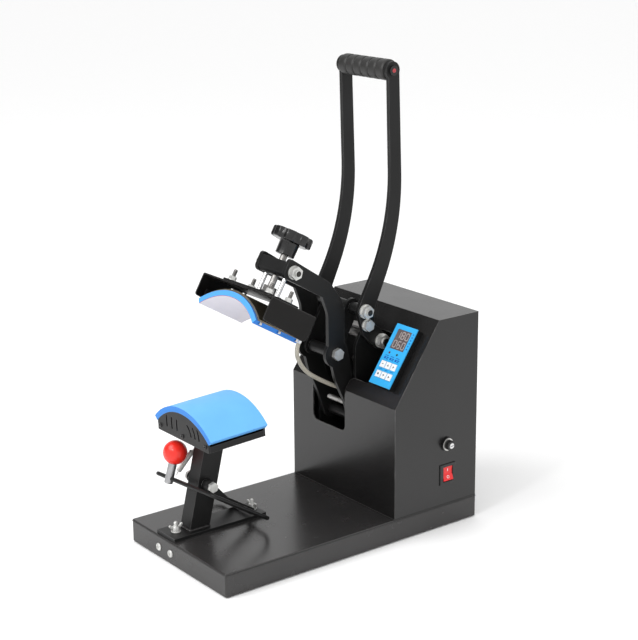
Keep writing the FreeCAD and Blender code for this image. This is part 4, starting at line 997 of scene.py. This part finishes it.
def make_display(look):
    """Two rows of digits, and the bezel round the window."""
    row, pitch = 7.2, 9.0
    parts = []
    for text, s in (("180", WINDOW_S + row), ("060", WINDOW_S - row)):
        for i, character in enumerate(text):
            for outline in digit(character, WINDOW_X + (i - 1) * pitch, s, 5.6, 10.2):
                parts.append(print_on(outline, PANE_TOP, 0.12))
    piece("display_digits", join(parts), TO_SLOPE, look["segment"], "root")
    x0, x1, s0, s1, width = 64.0, 95.5, 78.5, 111.0, 1.0
    bars = ((x0, x0 + width, s0, s1), (x1 - width, x1, s0, s1),
            (x0 + width, x1 - width, s0, s0 + width), (x0 + width, x1 - width, s1 - width, s1))
    rim = [(block(*bar, FILM_TOP - 0.1, FILM_TOP + 0.25, 0.1), UNMOVED) for bar in bars]
    piece("display_bezel", join(rim), TO_SLOPE, look["blue_film"], "root")


def make_lamps(look):
    """Two small domed lamps under the window."""
    lamp_s = 73.0
    profile = [(0, -0.1), (1.7, -0.1), (1.7, 0.2), (1.3, 0.8), (0.6, 1.1), (0, 1.15)]
    for name, x, key in (("lamp_left", 69.5, "led_red"), ("lamp_right", 86.0, "led_green")):
        piece(name, lathe(profile, 28), TO_SLOPE @ Matrix.Translation((x, lamp_s, FILM_TOP)), look[key],
              "root")


def make_panel_marks(look):
    """Plain printed bars: over each column of buttons, between their rows and beside the window."""
    # offset across the column, place along the slope, width and height
    over_buttons = ((-2.6, 64.4, 3.4, 3.4), (2.4, 65.4, 4.6, 1.5), (2.4, 63.0, 4.0, 1.3),
                    (-0.2, 68.2, 7.4, 1.0))
    outlines = []
    for x in COLUMNS:
        for dx, s, w, h in over_buttons:
            outlines.append(rectangle(x + dx - w / 2, x + dx + w / 2, s - h / 2, s + h / 2))
    outlines += [rectangle(x - 3.4, x + 3.4, 46.5, 47.3) for x in COLUMNS]
    first, pitch, height = 84.0, 4.6, 1.8
    for i in range(6):
        s = first + pitch * i
        outlines.append(rectangle(97.2, 99.8, s, s + height))
    marks = [print_on(outline, FILM_TOP, 0.06) for outline in outlines]
    piece("panel_marks", join(marks), TO_SLOPE, look["blue_ink"], "root")


def make_button_signs(look):
    """One generic sign on each button, in order from the top left."""
    reach, half = 1.8, 0.4
    signs = (
        [rectangle(-reach, reach, -half, half)],
        [[(-reach, -1.2), (reach, -1.2), (0, reach)]],
        [rectangle(-reach, reach, -half, half), rectangle(-half, half, half, reach),
         rectangle(-half, half, -reach, -half)],
        [rectangle(-1.4, 1.4, -1.4, 1.4)],
        [[(-reach, 1.2), (0, -reach), (reach, 1.2)]],
        [[(-1.2, -reach), (reach, 0), (-1.2, reach)]],
    )
    for i, shapes in enumerate(signs):
        x, s = COLUMNS[i % 3], KEY_ROWS[i // 3]
        parts = [print_on([(x + a, s + b) for a, b in shape], KEY_TOP, 0.07) for shape in shapes]
        piece("button_sign_%d" % (i + 1), join(parts), TO_SLOPE, look["dark_ink"], "button_%d" % (i + 1))


# ---------------------------------------------------------------- switch and fuse holder

def make_rocker_marks(look):
    """A bar and a ring on the two halves of the rocker."""
    pivot = Vector((115.0, 166.5, 82.0))
    tilt, lean = math.radians(-8.0), math.atan2(2.0, 10.4)
    face_x, face_z = 6.45, 5.4
    turn = Matrix.Translation(pivot) @ Matrix.Rotation(tilt, 4, "Y")

    def half_face(side):
        return (turn @ Matrix.Translation((face_x, 0, side * face_z))
                @ Matrix.Rotation(math.radians(90) + side * lean, 4, "Y"))
    ring, bar = washer(2.4, 1.6, 0.7), block(-2.2, 2.2, -0.5, 0.5, -0.05, 0.12, 0.04)
    parts = [(ring, half_face(-1) @ Matrix.Translation((0, 0, -0.5))), (bar, half_face(1))]
    piece("rocker_marks", join(parts), TO_ROW, look["white_plastic"], "rocker")


def make_fuse_cap(look):
    """Knurled cap with a bright slotted insert, and the ring behind it."""
    at, out = Vector((120.0, 165.0, 128.3)), (1, 0, 0)
    ridges, ridge_h = 26, 0.22
    stand = TO_ROW @ along(at, out)

    def knurl(angle, r, h):
        return r + ridge_h * math.cos(angle * ridges) if 3.5 < h < 9.8 and r > 6.9 else r
    cap = lathe([(0, 3.0), (7.0, 3.0), (7.2, 3.4), (7.25, 4.2), (7.25, 9.2), (7.0, 10.4), (6.4, 11.1),
                 (4.6, 11.2), (4.4, 10.6), (0, 10.6)], ridges * 8, knurl)
    piece("fuse_cap_detail", cap, stand, look["black_plastic"], "root")
    insert = lathe([(0, 10.5), (4.2, 10.5), (4.2, 11.3), (3.8, 11.6), (0, 11.6)], 36)
    piece("fuse_insert", insert, stand, look["chrome"], "root")
    slot_bar = block(-3.4, 3.4, -0.45, 0.45, 11.5, 11.75, 0.05)
    piece("fuse_slot", slot_bar, stand, look["dark_ink"], "root")
    wall = Vector((2.6, 0, 0))
    piece("fuse_ring", washer(9.4, 7.4, 1.0), TO_ROW @ along(at + wall, out), look["aluminium"], "root")


# ---------------------------------------------------------------- studio

def make_world():
    """White surroundings with one soft darker patch high on the left, which the slope reflects."""
    world = bpy.data.worlds.new("studio")
    bpy.context.scene.world = world
    world.use_nodes = True
    tree = world.node_tree
    background = tree.nodes["Background"]
    background.inputs["Strength"].default_value = 1.06
    coords = tree.nodes.new("ShaderNodeTexCoord")
    towards = tree.nodes.new("ShaderNodeVectorMath")
    towards.operation = "DOT_PRODUCT"
    towards.inputs[1].default_value = Vector((-0.77, -0.468, 0.44)).normalized()
    patch = tree.nodes.new("ShaderNodeMapRange")
    patch.interpolation_type = "SMOOTHSTEP"
    patch.inputs["From Min"].default_value = 0.82
    patch.inputs["From Max"].default_value = 0.95
    tone = tree.nodes.new("ShaderNodeMix")
    tone.data_type = "RGBA"
    tone.inputs[MIX_A].default_value = (1, 1, 1, 1)
    tone.inputs[MIX_B].default_value = (0.12, 0.12, 0.12, 1)
    tree.links.new(coords.outputs["Generated"], towards.inputs[0])
    tree.links.new(towards.outputs["Value"], patch.inputs["Value"])
    tree.links.new(patch.outputs["Result"], tone.inputs["Factor"])
    tree.links.new(tone.outputs[MIX_OUT], background.inputs["Color"])


def make_floor(look):
    half = 12.0                      # metres
    mesh = bpy.data.meshes.new("floor")
    mesh.from_pydata([(x, y, 0) for x, y in rectangle(-half, half, -half, half)], [], [(0, 1, 2, 3)])
    floor = bpy.data.objects.new("floor", mesh)
    bpy.context.scene.collection.objects.link(floor)
    floor.data.materials.append(look["floor"])


def make_studio(look):
    bpy.context.scene.view_settings.view_transform = "Standard"
    make_world()
    make_floor(look)
    area_light("key", (-0.6, -1.6, 2.2), (0, 0, 0.2), 1.6, 32.0)
    area_light("sparkle", (0.5, -1.5, 1.5), (0, 0, 0.25), 0.22, 7.0)


def area_light(name, at, target, size, power):
    """Square light at a point in metres, turned towards target."""
    data = bpy.data.lights.new(name, "AREA")
    data.shape = "SQUARE"
    data.size = size
    data.energy = power
    light = bpy.data.objects.new(name, data)
    light.location = at
    light.rotation_euler = (Vector(at) - Vector(target)).to_track_quat("Z", "Y").to_euler()
    bpy.context.scene.collection.objects.link(light)


# ---------------------------------------------------------------- build

make_camera()
LOOK = make_materials()
make_lead(LOOK)
dress_nodes(LOOK)
round_edges()
make_spring(LOOK)
make_housing_screws(LOOK)
make_platen_screws(LOOK)
make_head_studs(LOOK)
make_bolt_ends(LOOK)
make_sleeves(LOOK)
make_clamp_collars(LOOK)
make_stop_stud(LOOK)
make_wing_nuts(LOOK)
make_ball(LOOK)
make_star_knob(LOOK)
make_grip(LOOK)
make_grip_plugs(LOOK)
make_post_weld(LOOK)
make_link_welds(LOOK)
make_seams(LOOK)
make_mat_clips(LOOK)
make_heater_screws(LOOK)
make_display(LOOK)
make_lamps(LOOK)
make_panel_marks(LOOK)
make_button_signs(LOOK)
make_rocker_marks(LOOK)
make_fuse_cap(LOOK)
make_studio(LOOK)
